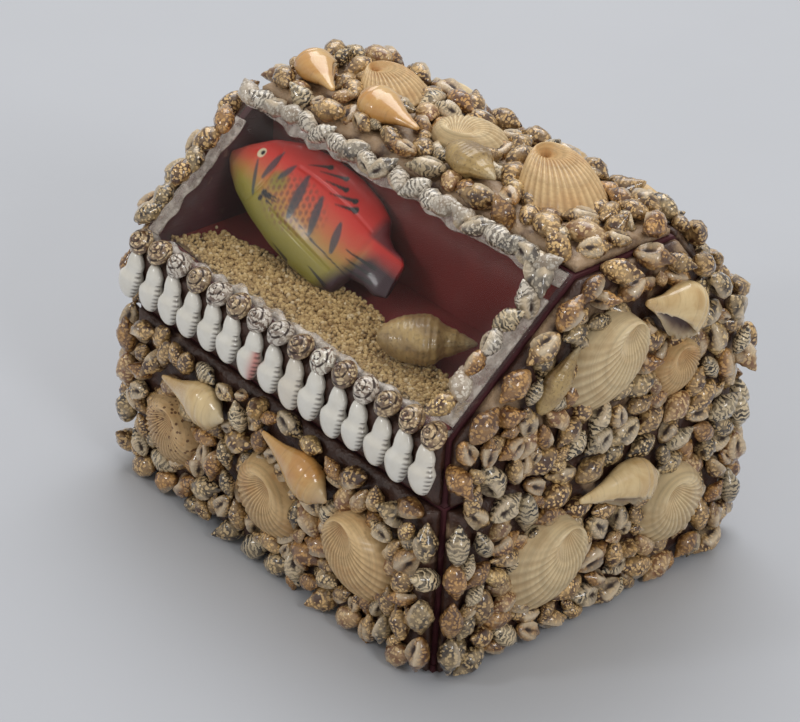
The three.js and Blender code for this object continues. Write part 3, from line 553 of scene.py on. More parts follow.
# Whelks: the spire points to -x, the narrow canal end to +x. A station is a place and a radius. A
# mouth is its place, its angle and its reach along and round.
whelkForms = {
    "pear": {"stations": [(0, 0.02), (0.02, 0.12), (0.05, 0.3), (0.09, 0.4), (0.11, 0.52), (0.17, 0.82),
                          (0.24, 0.97), (0.33, 1), (0.44, 0.92), (0.56, 0.7), (0.7, 0.44), (0.84, 0.27),
                          (0.95, 0.17), (1, 0.1)],
             "knobs": 0, "mouth": (0.58, 0.2, 0.3, 0.24)},
    "spire": {"stations": [(0, 0.02), (0.05, 0.17), (0.1, 0.25), (0.12, 0.31), (0.19, 0.4), (0.22, 0.5),
                           (0.31, 0.6), (0.36, 0.66), (0.41, 0.86), (0.5, 0.98), (0.6, 1), (0.74, 0.92),
                           (0.86, 0.72), (0.95, 0.46), (1, 0.2)],
              "knobs": 11, "mouth": None},
}
whelkForms["mouth"] = {**whelkForms["pear"], "mouth": (0.5, 0.62, 0.3, 0.55)}
whelkGrain = {"around": 44, "rings": 64, "flat": 0.74, "slant": 0.022, "whorl": 0.085, "groove": 0.075,
              "knob": 0.075, "spireKnob": 0.05, "hollow": 0.62, "lip": 0.1}


def whelk(length, girth, form, flat=whelkGrain["flat"], knobs=None):
    spec, grain = whelkForms[form], whelkGrain
    knobs, mouth = knobs or spec["knobs"], spec["mouth"]
    n, m = grain["rings"], grain["around"]
    theta = np.arange(m) / m * 2 * math.pi
    places, shares = zip(*spec["stations"])
    rings, along, dark, lips = [], [], [], []
    for t in np.linspace(0.004, 0.996, n):
        slant = grain["slant"] * np.cos(theta - 0.6) * (1 if t < 0.5 else max(0, 1 - (t - 0.5) * 4))
        r = np.interp(t + slant, places, shares)
        smooth = np.interp(t + slant + np.array([[-0.012], [0], [0.012]]), places, shares).mean(0)
        r = smooth * 0.7 + r * 0.3
        if knobs:
            ridge = np.abs(np.cos(theta * knobs / 2 + t * 3)) ** 1.5
            r = r * (1 + grain["knob"] * ridge * math.exp(-((t - 0.45) / 0.13) ** 2)
                     + grain["spireKnob"] * ridge * (t < 0.4))
            r = r * (1 + 0.018 * math.sin(t * 95))      # fine threads round the shell
        hole = lip = np.zeros(m)
        whorl = (t / grain["whorl"] + theta / (2 * math.pi)) % 1
        groove = grain["groove"] * np.exp(-((whorl - 0.5) / 0.13) ** 2)
        r = r * (1 - groove * min(1, max(0, (0.36 - t) / 0.1)))
        if mouth:
            gap = (theta - mouth[1] + math.pi) % (2 * math.pi) - math.pi
            reach = ((t - mouth[0]) / mouth[2]) ** 2 + (gap / mouth[3]) ** 2
            hole = np.clip(1.15 - reach, 0, 1) ** 0.6 * (reach < 1.15)
            lip = np.exp(-((reach - 1.25) / 0.28) ** 2)
            r = r * (1 - grain["hollow"] * hole + grain["lip"] * lip)
        rings.append(np.column_stack([np.full(m, (t - 0.5) * length), np.cos(theta) * r * girth / 2,
                                      np.sin(theta) * r * girth / 2 * flat]))
        along.append(np.full(m, t))
        # painted shade: the dented aperture is marked to be coloured near black, standing in for the shade
        # inside it
        dark.append(np.clip(hole * 1.6, 0, 1))
        lips.append(lip)
    points, quads = skin(rings, (-length / 2, 0, 0), (length / 2, 0, 0))
    points[:, 2] += girth * flat / 2 * 0.97
    points[:, 2] = np.maximum(points[:, 2], 0)
    extra = {"along": np.concatenate([*along, [0, 1]]), "mouth": np.concatenate([*dark, [0, 0]]),
             "lip": np.concatenate([*lips, [0, 0]]),
             "round": np.concatenate([np.tile(np.abs(theta - math.pi), n), [0, 0]])}
    return points, quads, extra


# Every large shell, as its solid has it: name, form, place as shares of the face, size along and
# across in millimetres, the way it points in degrees, look
largeShells = {
    "trayFront": [("front_spotted_cockle", "cockle", 0.165, 0.43, 27, 26, 60, "spottedCockle"),
                  ("front_pale_whelk", "pear", 0.27, 0.79, 30, 14, 180, "creamWhelk"),
                  ("front_fan_cockle", "cockle", 0.5, 0.44, 29, 29, 60, "tanCockle"),
                  ("front_orange_whelk", "pear", 0.615, 0.81, 31, 14, 165, "orangeWhelk"),
                  ("front_tan_cockle", "cockle", 0.8, 0.48, 31, 29, 95, "tanCockle")],
    "trayRight": [("right_cream_cockle", "cockle", 0.315, 0.46, 34, 29, 80, "creamCockle"),
                  ("right_cream_whelk", "mouth", 0.53, 0.79, 33, 15, 175, "creamWhelk"),
                  ("right_far_cockle", "cockle", 0.77, 0.45, 30, 28, 120, "creamCockle")],
    "trayBack": [("back_tan_cockle", "cockle", 0.19, 0.47, 29, 28, 85, "tanCockle"),
                 ("back_cream_cockle", "cockle", 0.5, 0.52, 31, 30, 100, "creamCockle"),
                 ("back_spotted_cockle", "cockle", 0.81, 0.46, 28, 27, 70, "spottedCockle")],
    "trayLeft": [("left_cream_cockle", "cockle", 0.25, 0.47, 30, 28, 100, "creamCockle"),
                 ("left_orange_whelk", "pear", 0.52, 0.72, 28, 13, 20, "orangeWhelk"),
                 ("left_tan_cockle", "cockle", 0.75, 0.42, 28, 27, 75, "tanCockle")],
    "lidRight": [("lid_ribbed_cockle", "cockle", 0.465, 0.52, 33, 27, 75, "creamCockle"),
                 ("lid_spire_shell", "spire", 0.29, 0.56, 22, 9, 232, "brownWhelk"),
                 ("lid_open_whelk", "mouth", 0.655, 0.73, 27, 17, 155, "creamWhelk"),
                 ("lid_pink_cockle", "cockle", 0.735, 0.3, 21, 20, 110, "tanCockle")],
    "lidLeft": [("lid_left_cockle", "cockle", 0.52, 0.5, 31, 29, 90, "tanCockle"),
                ("lid_left_small_cockle", "cockle", 0.22, 0.28, 20, 20, 70, "creamCockle")],
    "lidTop": [("top_left_whelk", "pear", 0.1, 0.32, 26, 13, -22, "orangeWhelk"),
               ("top_fine_cockle", "cockle", 0.225, 0.71, 22, 23, 180, "tanCockle"),
               ("top_orange_whelk", "pear", 0.335, 0.31, 28, 14, -4, "orangeWhelk"),
               ("top_fan_cockle", "cockle", 0.48, 0.68, 22, 25, -70, "creamCockle"),
               ("top_knobbed_whelk", "spire", 0.61, 0.28, 24, 12.5, 170, "brownWhelk"),
               ("top_tan_cockle", "cockle", 0.78, 0.62, 32, 26, 160, "tanCockle")],
    "rearSlope": [("rear_tan_cockle", "cockle", 0.2, 0.5, 28, 28, 80, "tanCockle"),
                  ("rear_cream_whelk", "pear", 0.5, 0.55, 30, 15, 20, "creamWhelk"),
                  ("rear_cream_cockle", "cockle", 0.79, 0.48, 29, 28, 105, "creamCockle")],
}
onBed = box["touch"] * 2 + box["bed"]


def largePlace(outline, shell):
    _, form, shareU, shareV, along, across, turned, _ = shell
    u, v = shareU * max(p[0] for p in outline), shareV * max(p[1] for p in outline)
    angle = math.radians(turned)
    heading = (math.cos(angle), math.sin(angle))
    half, slack = across / 2, (along - across) / 2 / along
    wide = half + box["touch"]
    if form == "cockle":
        cover = [(slack, wide), (-slack, wide)]
    else:
        cover = [(-0.36, half * 0.75), (-0.16, wide), (0.06, half * 0.9), (0.26, half * 0.5),
                 (0.42, half * 0.35)]
    return u, v, angle, [(u + heading[0] * along * s, v + heading[1] * along * s, r) for s, r in cover]


for key, shells in largeShells.items():
    for number, shell in enumerate(shells):
        name, form, _, _, along, across, _, look = shell
        u, v, angle, _ = largePlace(faces[key]["outline"], shell)
        if form == "cockle":
            points, quads, extra = cockle(across, along, cockleForm["ribs"][look], 7 * number + len(name))
            angle -= math.pi / 2
        else:
            points, quads, extra = whelk(along, across, form)
        placed = onFace(key, points @ turnedBy(angle) + np.array([u, v, onBed]))
        keep(solid(name + "_shell", placed, quads, look, extra), look, name)
print("large shells made")

# Small shells: eight forms of a pointed spindle, some with the mouth showing
smallForm = {"count": 8, "length": 12.6, "spread": 0.18, "slimness": 0.62, "rise": 6.2,
             "rowPitch": 11.1, "rowTilt": 0.5, "rowLength": 0.98, "rowSqueeze": 0.9, "tries": 5000,
             "around": 9, "pushedUp": 0.14, "shrink": 0.24, "fillShrink": 0.3, "mostCircles": 4000,
             # how far each kind of row stands in from its edge, in girths
             "floorRow": 0.56, "seamRow": 0.48, "bendRow": 0.12, "cornerRow": 0.04,
             # later passes: tries, overlap with the others, reach past the edge, sunk by, size
             "fills": [(3000, 0.8, 0.0, 0.6, 1), (3500, 0.62, 1.5, 2.2, 1), (2600, 0.66, 1.0, 1.4, 0.74)],
             # places along a shell and its radius there, then circles that cover its plan
             "spindle": [(0.0, 0.12), (0.11, 0.3), (0.28, 0.44), (0.47, 0.51), (0.58, 0.48),
                         (0.64, 0.385), (0.73, 0.335), (0.79, 0.23), (0.88, 0.17), (0.95, 0.08)],
             "cover": [(-0.48, 0.03), (-0.42, 0.1), (-0.3, 0.27), (-0.08, 0.5), (0.17, 0.31),
                       (0.34, 0.15), (0.46, 0.05)]}


def smallShell(variant):
    m = smallForm["around"]
    theta = np.arange(m) / m * 2 * math.pi
    draw = stream(40 + variant * 17)
    fat, long = 0.92 + 0.2 * draw(), 0.06 * (draw() - 0.5)
    gaping = variant % 2 == 1
    ribs = 0.05 if variant in (2, 5) else 0.0
    rings, dark, lips = [], [], []
    for t, r in smallForm["spindle"]:
        radius = np.full(m, r * smallForm["slimness"] * fat) * (1 + ribs * np.cos(theta * 6))
        hole, lip = np.zeros(m), np.zeros(m)
        if gaping and 0.04 < t < 0.6:
            deep = math.sin(math.pi * (t - 0.02) / 0.6)
            hole[2], lip[1], lip[3] = deep, 1, 0.8
            radius = radius * (1 - 0.55 * hole + 0.1 * lip)
            radius[4] *= 0.96
        lean = 0.03 * np.cos(theta - 1) * (t > 0.5)
        rings.append(np.column_stack([t - 0.5 + lean + (long if t > 0.5 else 0), np.cos(theta) * radius,
                                      np.sin(theta) * radius * 0.94]))
        # the hole share goes out as the mouth attribute, which the finish paints near black as painted shade
        # inside the aperture
        dark.append(hole)
        lips.append(lip)
    points, quads = skin(rings, (-0.53, 0, 0), (0.5 + long, 0, 0))
    return solid(f"smallShell{variant}", points / mm, quads, "smallShell",
                 {"shellPlace": points, "mouth": np.concatenate([*dark, [0, 0]]),
                  "lip": np.concatenate([*lips, [0, 0]])}, linked=False)


def collect(name, make, count):
    group = bpy.data.collections.new(name)
    for variant in range(count):
        group.objects.link(make(variant))
    return group


# One Geometry Nodes tree scatters a collection's forms on the points of a carrier
def scatterTree():
    tree = bpy.data.node_groups.new("scatterShells", "GeometryNodeTree")
    sockets = {}
    for label, kind, way in [("Geometry", "Geometry", "INPUT"), ("Forms", "Collection", "INPUT"),
                             ("Size", "Float", "INPUT"), ("Seed", "Int", "INPUT"),
                             ("Finish", "Material", "INPUT"), ("Geometry", "Geometry", "OUTPUT")]:
        made = tree.interface.new_socket(label, in_out=way, socket_type="NodeSocket" + kind)
        sockets[label + way] = made.identifier
    s = Sheet(tree)
    entry = tree.nodes.new("NodeGroupInput")
    get = {o.name: Wire(s, o) for o in entry.outputs if o.name}
    named = lambda label, kind="FLOAT_VECTOR": s.node("GeometryNodeInputNamedAttribute",
                                                      {"data_type": kind}, {0: label})
    forms = s.node("GeometryNodeCollectionInfo", {}, {0: get["Forms"], 1: True, 2: True})
    turned = s.node("FunctionNodeEulerToRotation", {}, {0: named("turn")})
    sized = s.vector("SCALE", named("stretch"), get["Size"])
    placed = s.node("GeometryNodeInstanceOnPoints", {},
                    {0: get["Geometry"], "Instance": forms, "Pick Instance": True,
                     "Instance Index": named("form", "INT"), "Rotation": turned, "Scale": sized})
    chance = s.node("FunctionNodeRandomValue", {"data_type": "FLOAT"}, {"Seed": get["Seed"]}, 1)
    tinted = s.node("GeometryNodeStoreNamedAttribute", {"data_type": "FLOAT", "domain": "INSTANCE"},
                    {0: placed, "Name": "tint", "Value": chance})
    whole = s.node("GeometryNodeRealizeInstances", {}, {0: tinted})
    dressed = s.node("GeometryNodeSetMaterial", {}, {0: whole, "Material": get["Finish"]})
    out = tree.nodes.new("NodeGroupOutput")
    tree.links.new(dressed.socket, out.inputs[0])
    return tree, sockets


scatter, scatterInputs = scatterTree()


def scattered(name, spots, forms, look, seed):
    mesh = bpy.data.meshes.new(name)
    mesh.from_pydata([tuple(np.asarray(p["place"]) * mm) for p in spots], [], [])
    for label, kind, field in [("turn", "FLOAT_VECTOR", "vector"), ("stretch", "FLOAT_VECTOR", "vector"),
                               ("form", "INT", "value"), ("ground", "FLOAT_COLOR", "color"),
                               ("mark", "FLOAT_COLOR", "color"), ("kind", "FLOAT", "value")]:
        if label in spots[0]:
            values = np.array([p[label] for p in spots], np.int32 if kind == "INT" else np.float32)
            mesh.attributes.new(label, kind, "POINT").data.foreach_set(field, values.ravel())
    carrier = bpy.data.objects.new(name + "Carrier", mesh)
    scene.collection.objects.link(carrier)
    modifier = carrier.modifiers.new("scatter", "NODES")
    modifier.node_group = scatter
    for label, value in (("Forms", forms), ("Size", mm), ("Seed", seed), ("Finish", looks[look])):
        modifier[scatterInputs[label + "INPUT"]] = value
    bpy.context.view_layer.update()
    evaluated = carrier.evaluated_get(bpy.context.evaluated_depsgraph_get())
    result = bpy.data.meshes.new_from_object(evaluated)
    bpy.data.objects.remove(carrier)
    result.name = name
    places = np.empty(len(result.vertices) * 3)
    result.vertices.foreach_get("co", places)
    places[2::3] = np.maximum(places[2::3], 0)          # nothing reaches under the surface it stands on
    result.vertices.foreach_set("co", places)
    made = bpy.data.objects.new(name, result)
    scene.collection.objects.link(made)
    result.shade_smooth()
    return made


smallForms = collect("smallShellForms", smallShell, smallForm["count"])

# Colours of the small shells, as seen under varnish: share of all, ground, marks, 0 net or 1 zigzag
palette = {"golden": (0.42, (0.86, 0.59, 0.26), (0.08, 0.03, 0.011), 0),
           "amber": (0.2, (0.66, 0.38, 0.13), (0.14, 0.055, 0.017), 0),
           "tented": (0.16, (0.82, 0.63, 0.34), (0.03, 0.015, 0.009), 0),
           "zigzag": (0.12, (0.76, 0.64, 0.42), (0.02, 0.013, 0.009), 1),
           "cream": (0.1, (0.76, 0.55, 0.28), (0.24, 0.11, 0.045), 0)}
greyPalette = {"chalk": (0.5, (0.75, 0.71, 0.62), (0.1, 0.08, 0.06), 1),
               "grey": (0.3, (0.68, 0.63, 0.52), (0.07, 0.055, 0.045), 0),
               "bone": (0.2, (0.8, 0.76, 0.67), (0.4, 0.33, 0.25), 0)}


def coloured(draw, colours):
    pick, total = draw(), 0
    for share, ground, mark, kind in colours.values():
        total += share
        if pick <= total:
            break
    bright = 0.8 + 0.45 * draw()
    return {"ground": (*[min(1, c * bright) for c in ground], 1),
            "mark": (*[c * bright for c in mark], 1), "kind": kind}


def insideOutline(outline, circle, inset):
    u, v, radius = circle
    for (u0, v0), (u1, v1) in zip(outline, outline[1:] + outline[:1]):
        if ((u1 - u0) * (v - v0) - (v1 - v0) * (u - u0)) / math.hypot(u1 - u0, v1 - v0) < radius + inset:
            return False
    return True


def packShells(outline, clear, rows, seed):
    draw = stream(seed)
    taken = np.zeros((smallForm["mostCircles"], 3))
    taken[:len(clear)] = np.array(clear).reshape(-1, 3)
    state = {"used": len(clear)}
    found = []

    def offer(u, v, angle, length, girth, squeeze=1.0, inset=box["inset"] + box["touch"], layer=0):
        across, up = math.cos(angle) * length, math.sin(angle) * length
        circles = [(u + across * s, v + up * s, girth * r) for s, r in smallForm["cover"]]
        if not all(insideOutline(outline, c, inset) for c in circles):
            return
        old = taken[:state["used"]]
        for cu, cv, cr in circles:
            if np.any((old[:, 0] - cu) ** 2 + (old[:, 1] - cv) ** 2 < ((old[:, 2] + cr) * squeeze) ** 2):
                return
        taken[state["used"]:state["used"] + len(circles)] = circles
        state["used"] += len(circles)
        found.append((u, v, angle, length, girth, layer))

    for edge, alongEdge, place in rows:
        (u0, v0), (u1, v1) = outline[edge], outline[(edge + 1) % len(outline)]
        run, heading = math.hypot(u1 - u0, v1 - v0), math.atan2(v1 - v0, u1 - u0)
        girth = smallForm["length"] * smallForm["slimness"]
        pitch = smallForm["length"] * 1.04 if alongEdge else smallForm["rowPitch"]
        inward = girth * smallForm[place]
        count = math.floor((run - 2 * box["inset"]) / pitch)
        for i in range(count):
            step = (run - count * pitch) / 2 + (i + 0.5) * pitch
            lean = (0 if alongEdge else smallForm["rowTilt"]) + 0.24 * (draw() - 0.5)
            half = math.pi if draw() < 0.5 else 0
            offer(u0 + math.cos(heading) * step - math.sin(heading) * inward,
                  v0 + math.sin(heading) * step + math.cos(heading) * inward,
                  heading + lean + half, smallForm["length"] * smallForm["rowLength"], girth,
                  smallForm["rowSqueeze"], inward - girth / 2 - 0.2)
    spanU, spanV = max(p[0] for p in outline), max(p[1] for p in outline)
    for i in range(smallForm["tries"]):
        shrink = smallForm["shrink"] * i / smallForm["tries"]
        length = smallForm["length"] * (1 - shrink + smallForm["spread"] * (2 * draw() - 1))
        u, v, angle = draw() * spanU, draw() * spanV, draw() * 2 * math.pi
        offer(u, v, angle, length, length * smallForm["slimness"])
    for tries, overlap, reach, sunk, share in smallForm["fills"]:      # more shells pushed in between
        for i in range(tries):
            length = smallForm["length"] * (1 - smallForm["fillShrink"] * i / tries) * share
            u, v, angle = (draw() * 1.04 - 0.02) * spanU, draw() * spanV, draw() * 2 * math.pi
            if v > length * 0.3 + 0.6 or reach == 0:
                offer(u, v, angle, length, length * smallForm["slimness"], overlap, -reach, sunk)
    return found


def shellSpots(key, found, seed, colours):
    draw = stream(seed * 31 + 7)
    axes = Matrix(faces[key]["axes"].tolist()).transposed()
    spots = []
    for u, v, angle, length, girth, layer in found:
        upright = draw() < smallForm["pushedUp"] and layer == 0
        tilt = -(0.75 + 0.4 * draw()) if upright else 0.3 * (draw() - 0.5)
        form = int(draw() * smallForm["count"])
        spin = (draw() - 0.5) * (3.6 if form % 2 else 1.1)
        turned = (axes @ Matrix.Rotation(angle, 3, "Z") @ Matrix.Rotation(tilt, 3, "Y")
                  @ Matrix.Rotation(spin, 3, "X"))
        thick = girth / smallForm["slimness"]
        top = smallForm["rise"] + box["bed"] + box["touch"]
        lift = top - (length * 0.36 if upright else girth * 0.5) - layer - 0.5 * draw()
        spots.append({"place": onFace(key, [u, v, lift]), "turn": tuple(turned.to_euler()),
                      "stretch": (length, thick * (0.94 + 0.16 * draw()), thick), "form": form,
                      **coloured(draw, colours)})
    return spots


glue = {"pitch": 1.4, "lump": 0.495, "lumpSize": 9, "fineLump": 0.35, "fineSize": 3.5, "least": 0.3,
        "highest": 1.5, "cloudSize": 22, "cloud": 0.25}


def glueBed(name, outline, key, seed, milky, base, pitch=glue["pitch"], top=box["bed"], warp=None,
            look="glue"):
    inset = box["inset"]
    low, high = min(p[1] for p in outline) + inset, max(p[1] for p in outline) - inset
    rows = max(4, int((high - low) / pitch))
    spanU = max(p[0] for p in outline)
    cols = max(6, int(spanU / pitch))
    grid = []
    for v in np.linspace(low, high, rows + 1):
        cuts = []
        for (u0, v0), (u1, v1) in zip(outline, outline[1:] + outline[:1]):
            if abs(v1 - v0) > 1e-9 and min(v0, v1) <= v <= max(v0, v1):
                cuts.append(u0 + (u1 - u0) * (v - v0) / (v1 - v0))
        grid.append([(u, v) for u in np.linspace(min(cuts) + inset, max(cuts) - inset, cols + 1)])
    grid = np.array(grid)
    u, v = grid[..., 0], grid[..., 1]
    edge = np.minimum(np.minimum(np.arange(cols + 1), np.arange(cols, -1, -1))[None, :],
                      np.minimum(np.arange(rows + 1), np.arange(rows, -1, -1))[:, None])
    height = (top + glue["lump"] * ripple(u, v, seed, glue["lumpSize"])
              + glue["fineLump"] * ripple(u, v, seed + 1, glue["fineSize"]))
    height = np.clip(height * np.clip(0.45 + edge * 0.3, 0, 1), glue["least"], top + glue["highest"])
    if warp:
        u, v = warp(u, v)
    points, quads = slab(np.stack([u, v, height + base], -1), np.stack([u, v, np.full_like(u, base)], -1))
    cloud = np.tile(ripple(u, v, seed + 3, glue["cloudSize"]).ravel(), 2)
    return solid(name, onFace(key, points), quads, look, {"milky": milky + glue["cloud"] * cloud})


# Every crust: its face and how milky its glue is, its seed, and its rows of shells along the edges,
# each with the edge's number, 1 where the shells lie along it, and the kind of row
def rows(kind, lie, *edges): return [(edge, lie, kind) for edge in edges]


wallRows = rows("floorRow", 0, 0) + rows("cornerRow", 1, 1, 3) + rows("seamRow", 0, 2)
crusts = [("tray_front_shells", "trayFront", 0.15, 11, wallRows),
          ("tray_right_shells", "trayRight", 0.3, 23, wallRows),
          ("tray_back_shells", "trayBack", 0.0, 37, wallRows),
          ("tray_left_shells", "trayLeft", 0.0, 41, wallRows),
          ("lid_right_shells", "lidRight", 0.42, 59,
           rows("seamRow", 0, 0) + rows("cornerRow", 1, 5, 1, 4, 3, 2)),
          ("lid_left_shells", "lidLeft", 0.0, 61,
           rows("seamRow", 0, 4) + rows("cornerRow", 1, 5, 3, 0, 1, 2)),
          ("lid_top_shells", "lidTop", 0.72, 73,
           rows("bendRow", 0, 0) + rows("cornerRow", 0, 1, 3) + rows("bendRow", 1, 2)),
          ("rear_slope_shells", "rearSlope", 0.4, 83, rows("cornerRow", 0, 1, 3) + rows("bendRow", 1, 2, 0)),
          ("rear_rail_shells", "rearRail", 0.0, 97,
           rows("seamRow", 0, 0) + rows("bendRow", 0, 2) + rows("cornerRow", 1, 1, 3))]
total = 0
for name, key, milky, seed, edgeRows in crusts:
    outline = faces[key]["outline"]
    clear = [c for shell in largeShells.get(key, []) for c in largePlace(outline, shell)[3]]
    found = packShells(outline, clear, edgeRows, seed)
    total += len(found)
    spots = shellSpots(key, found, seed, palette)
    keep(scattered(name + "_scatter", spots, smallForms, "smallShell", seed), "smallShell", name)
    keep(glueBed(name + "_glue", outline, key, seed, milky, box["touch"]), "glue", name)
print("small shells made:", total)

# Borders along the window in milky glue: grey and white shells above, mixed ones at the right
border = {"base": box["touch"] * 2 + box["film"], "start": box["inset"] * 3, "step": 0.66,
          "leftLine": 3.2, "rightLine": 3.2, "topLine": 2.8,
          "corner": {"size": 1.5, "fromEnd": 5.5, "below": 3.4, "lean": -0.8, "slimness": 0.6},
          "sideGlue": 6.2, "topGlue": 6.4, "footGlue": 4.2, "creep": 1.5}
sideRun = windowLength - box["border"] - box["touch"] - border["start"]


def windowBorder(name, run, middle, flip, colours, seed):
    draw = stream(seed)
    size = box["borderShell"]
    count = math.floor(run / (size * border["step"]))
    found = []
    for i in range(count):
        step = box["inset"] + (i + 0.5) * (run - 2 * box["inset"]) / count
        lean = 0.9 * (draw() - 0.5) + (math.pi if draw() < 0.5 else 0)
        off = 1.1 * (draw() - 0.5)
        u, v = (middle + off, border["start"] + step) if flip else (step, middle + off)
        length = size * (0.94 + 0.22 * draw())
        lean += (math.pi / 2 if flip else 0) + (0.5 if i % 2 else -0.35)
        found.append((u, v, lean, length, length * smallForm["slimness"], 0))
    if not flip:                                    # a larger shell closes the upper row at its right end
        last = border["corner"]
        large = size * last["size"]
        found.append((run - last["fromEnd"], middle - last["below"], last["lean"], large,
                      large * last["slimness"], 0))
    spots = shellSpots("window", found, seed, colours)
    for spot in spots:
        spot["place"] = spot["place"] + faces["window"]["axes"][2] * (border["base"] - box["touch"])
    keep(scattered(name + "_scatter", spots, smallForms, "smallShell", seed), "smallShell", name)


mixedPalette = {key: (share / 2, *rest) for key, (share, *rest) in {**palette, **greyPalette}.items()}
windowBorder("window_left_shells", sideRun, border["leftLine"], True, palette, 103)
windowBorder("window_right_shells", sideRun, w - border["rightLine"], True, mixedPalette, 107)
windowBorder("window_top_shells", w, windowLength - border["topLine"], False, greyPalette, 109)


def creep(run, seed):       # how far the glue creeps over the sheet
    return 0.5 + border["creep"] * ripple(run, run * 0, seed, 15)


sideGlue, topGlue, footGlue = (border[k] for k in ("sideGlue", "topGlue", "footGlue"))
strips = [("window_left_shells", (0, border["start"]), (sideGlue, sideRun),
           lambda u, v: (u + creep(v, 5) * u / sideGlue, v)),
          ("window_right_shells", (w - sideGlue - 1, border["start"]), (sideGlue + 1, sideRun),
           lambda u, v: (u - creep(v, 6) * (1 - u / sideGlue), v)),
          ("window_top_shells", (0, windowLength - topGlue), (w, topGlue),
           lambda u, v: (u, v - creep(u, 7) * (1 - v / topGlue))),
          ("window_foot", (0, 0), (w, footGlue), lambda u, v: (u, v + creep(u, 8) * v / footGlue))]
for number, (name, corner, size, warp) in enumerate(strips):
    foot = name == "window_foot"                    # it has no solid of its own
    bed = glueBed(name + "_glue", rectangle(*size), "window", 200 + number, 0.75,
                  box["touch"] if foot else border["base"], glue["pitch"] / 2, 2.0 if foot else 1.4,
                  warp, "milkyGlue")
    shift = faces["window"]["axes"][0] * corner[0] * mm + faces["window"]["axes"][1] * corner[1] * mm
    bed.data.transform(Matrix.Translation(shift))
    keep(bed, "milkyGlue", *([] if foot else [name]))

# The fringe: round tops of small shells over hanging pale shells with toothed lips
fringe = {"count": 15, "pitch": 9.55, "button": 8.2, "buttonHeight": 6.2, "buttonTilt": -0.85,
          "aboveRail": 2.2, "paleLength": 16, "paleWidth": 9.4, "paleLift": 2.2, "pink": 6, "teeth": 11,
          "buttonMesh": (28, 14), "paleMesh": (32, 48)}


def paleShell(variant):
    m, n = fringe["paleMesh"]
    theta = np.arange(m) / m * 2 * math.pi
    draw = stream(300 + variant * 13)
    waist = 0.14 + 0.1 * draw()
    rings, marks, pinks = [], [], []
    for t in np.linspace(0.01, 0.99, n):
        r = 0.5 * math.sin(math.pi * t) ** 0.38 * (1 - waist * math.exp(-((t - 0.4) / 0.1) ** 2))
        r *= 0.8 + 0.2 * min(1, max(0, (t - 0.3) / 0.25))
        bend = 0.06 * math.sin(math.pi * t * 2)
        lip = np.exp(-((theta - 0.35) / 0.3) ** 2) * (t > 0.12) * (t < 0.93)
        tooth = 0.5 + 0.5 * math.cos(t * 2 * math.pi * fringe["teeth"])
        radius = r * (1 + 0.07 * lip * tooth)
        rings.append(np.column_stack([np.full(m, t - 0.5), np.cos(theta) * radius + bend,
                                      np.sin(theta) * radius * 0.8]))
        toothed = max(0, tooth - 0.35) * 1.5 * (0.35 < t < 0.97)
        marks.append(np.exp(-((theta - 0.36) / 0.3) ** 4) * toothed)
        pinks.append(np.exp(-((theta - 0.5) / 0.5) ** 2) * (variant == 1) * (t > 0.35))
    points, quads = skin(rings)
    return solid(f"paleShell{variant}", points / mm, quads, "pale",
                 {"shellPlace": points, "mark": np.concatenate([*marks, [0, 0]]),
                  "pink": np.concatenate([*pinks, [0, 0]])}, linked=False)


def buttonShell(variant):
    m, n = fringe["buttonMesh"]
    theta = np.arange(m) / m * 2 * math.pi
    rings, dark = [], []
    for t in np.linspace(0.06, 1, n):                # from the crown out to the rim and under
        groove = np.sin((t * 2.6 - theta / (2 * math.pi)) * 2 * math.pi)
        height = 0.62 * (1 - t ** 2.2) + 0.035 * groove * (1 - t)
        rings.append(np.column_stack([np.cos(theta) * t * 0.5, np.sin(theta) * t * 0.5, height - 0.1]))
        # painted shade: the low part of the spiral groove is marked to be coloured near black where shade
        # would lie in it
        dark.append((groove < -0.45) * 0.8 * (t < 0.92))
    rings.append(np.column_stack([np.cos(theta) * 0.42, np.sin(theta) * 0.42, np.full(m, -0.3)]))
    dark.append(np.zeros(m))
    points, quads = skin(rings, (0, 0, 0.54), (0, 0, -0.3))
    return solid(f"buttonShell{variant}", points / mm, quads, "smallShell",
                 {"shellPlace": points * 0.7 + variant, "mouth": np.concatenate([*dark, [0, 0]]),
                  "lip": np.zeros(len(points))}, linked=False)


buttonPalette = {"shell": (0.42, (0.82, 0.64, 0.38), (0.12, 0.05, 0.02), 0),
                 "white": (0.38, (0.86, 0.82, 0.74), (0.2, 0.13, 0.09), 1),
                 "dark": (0.2, (0.6, 0.45, 0.28), (0.06, 0.03, 0.02), 0)}
fringeStart = (w - (fringe["count"] - 1) * fringe["pitch"]) / 2
buttonV = box["frontRail"] + fringe["aboveRail"]
paleV = buttonV - fringe["button"] * 0.36 - fringe["paleLength"] * 0.5
railAxes = Matrix(faces["frontRail"]["axes"].tolist()).transposed()
draw = stream(17)
buttons, pales = [], []


def turnedRail(angle, axis="Z"): return Matrix.Rotation(angle, 3, axis)


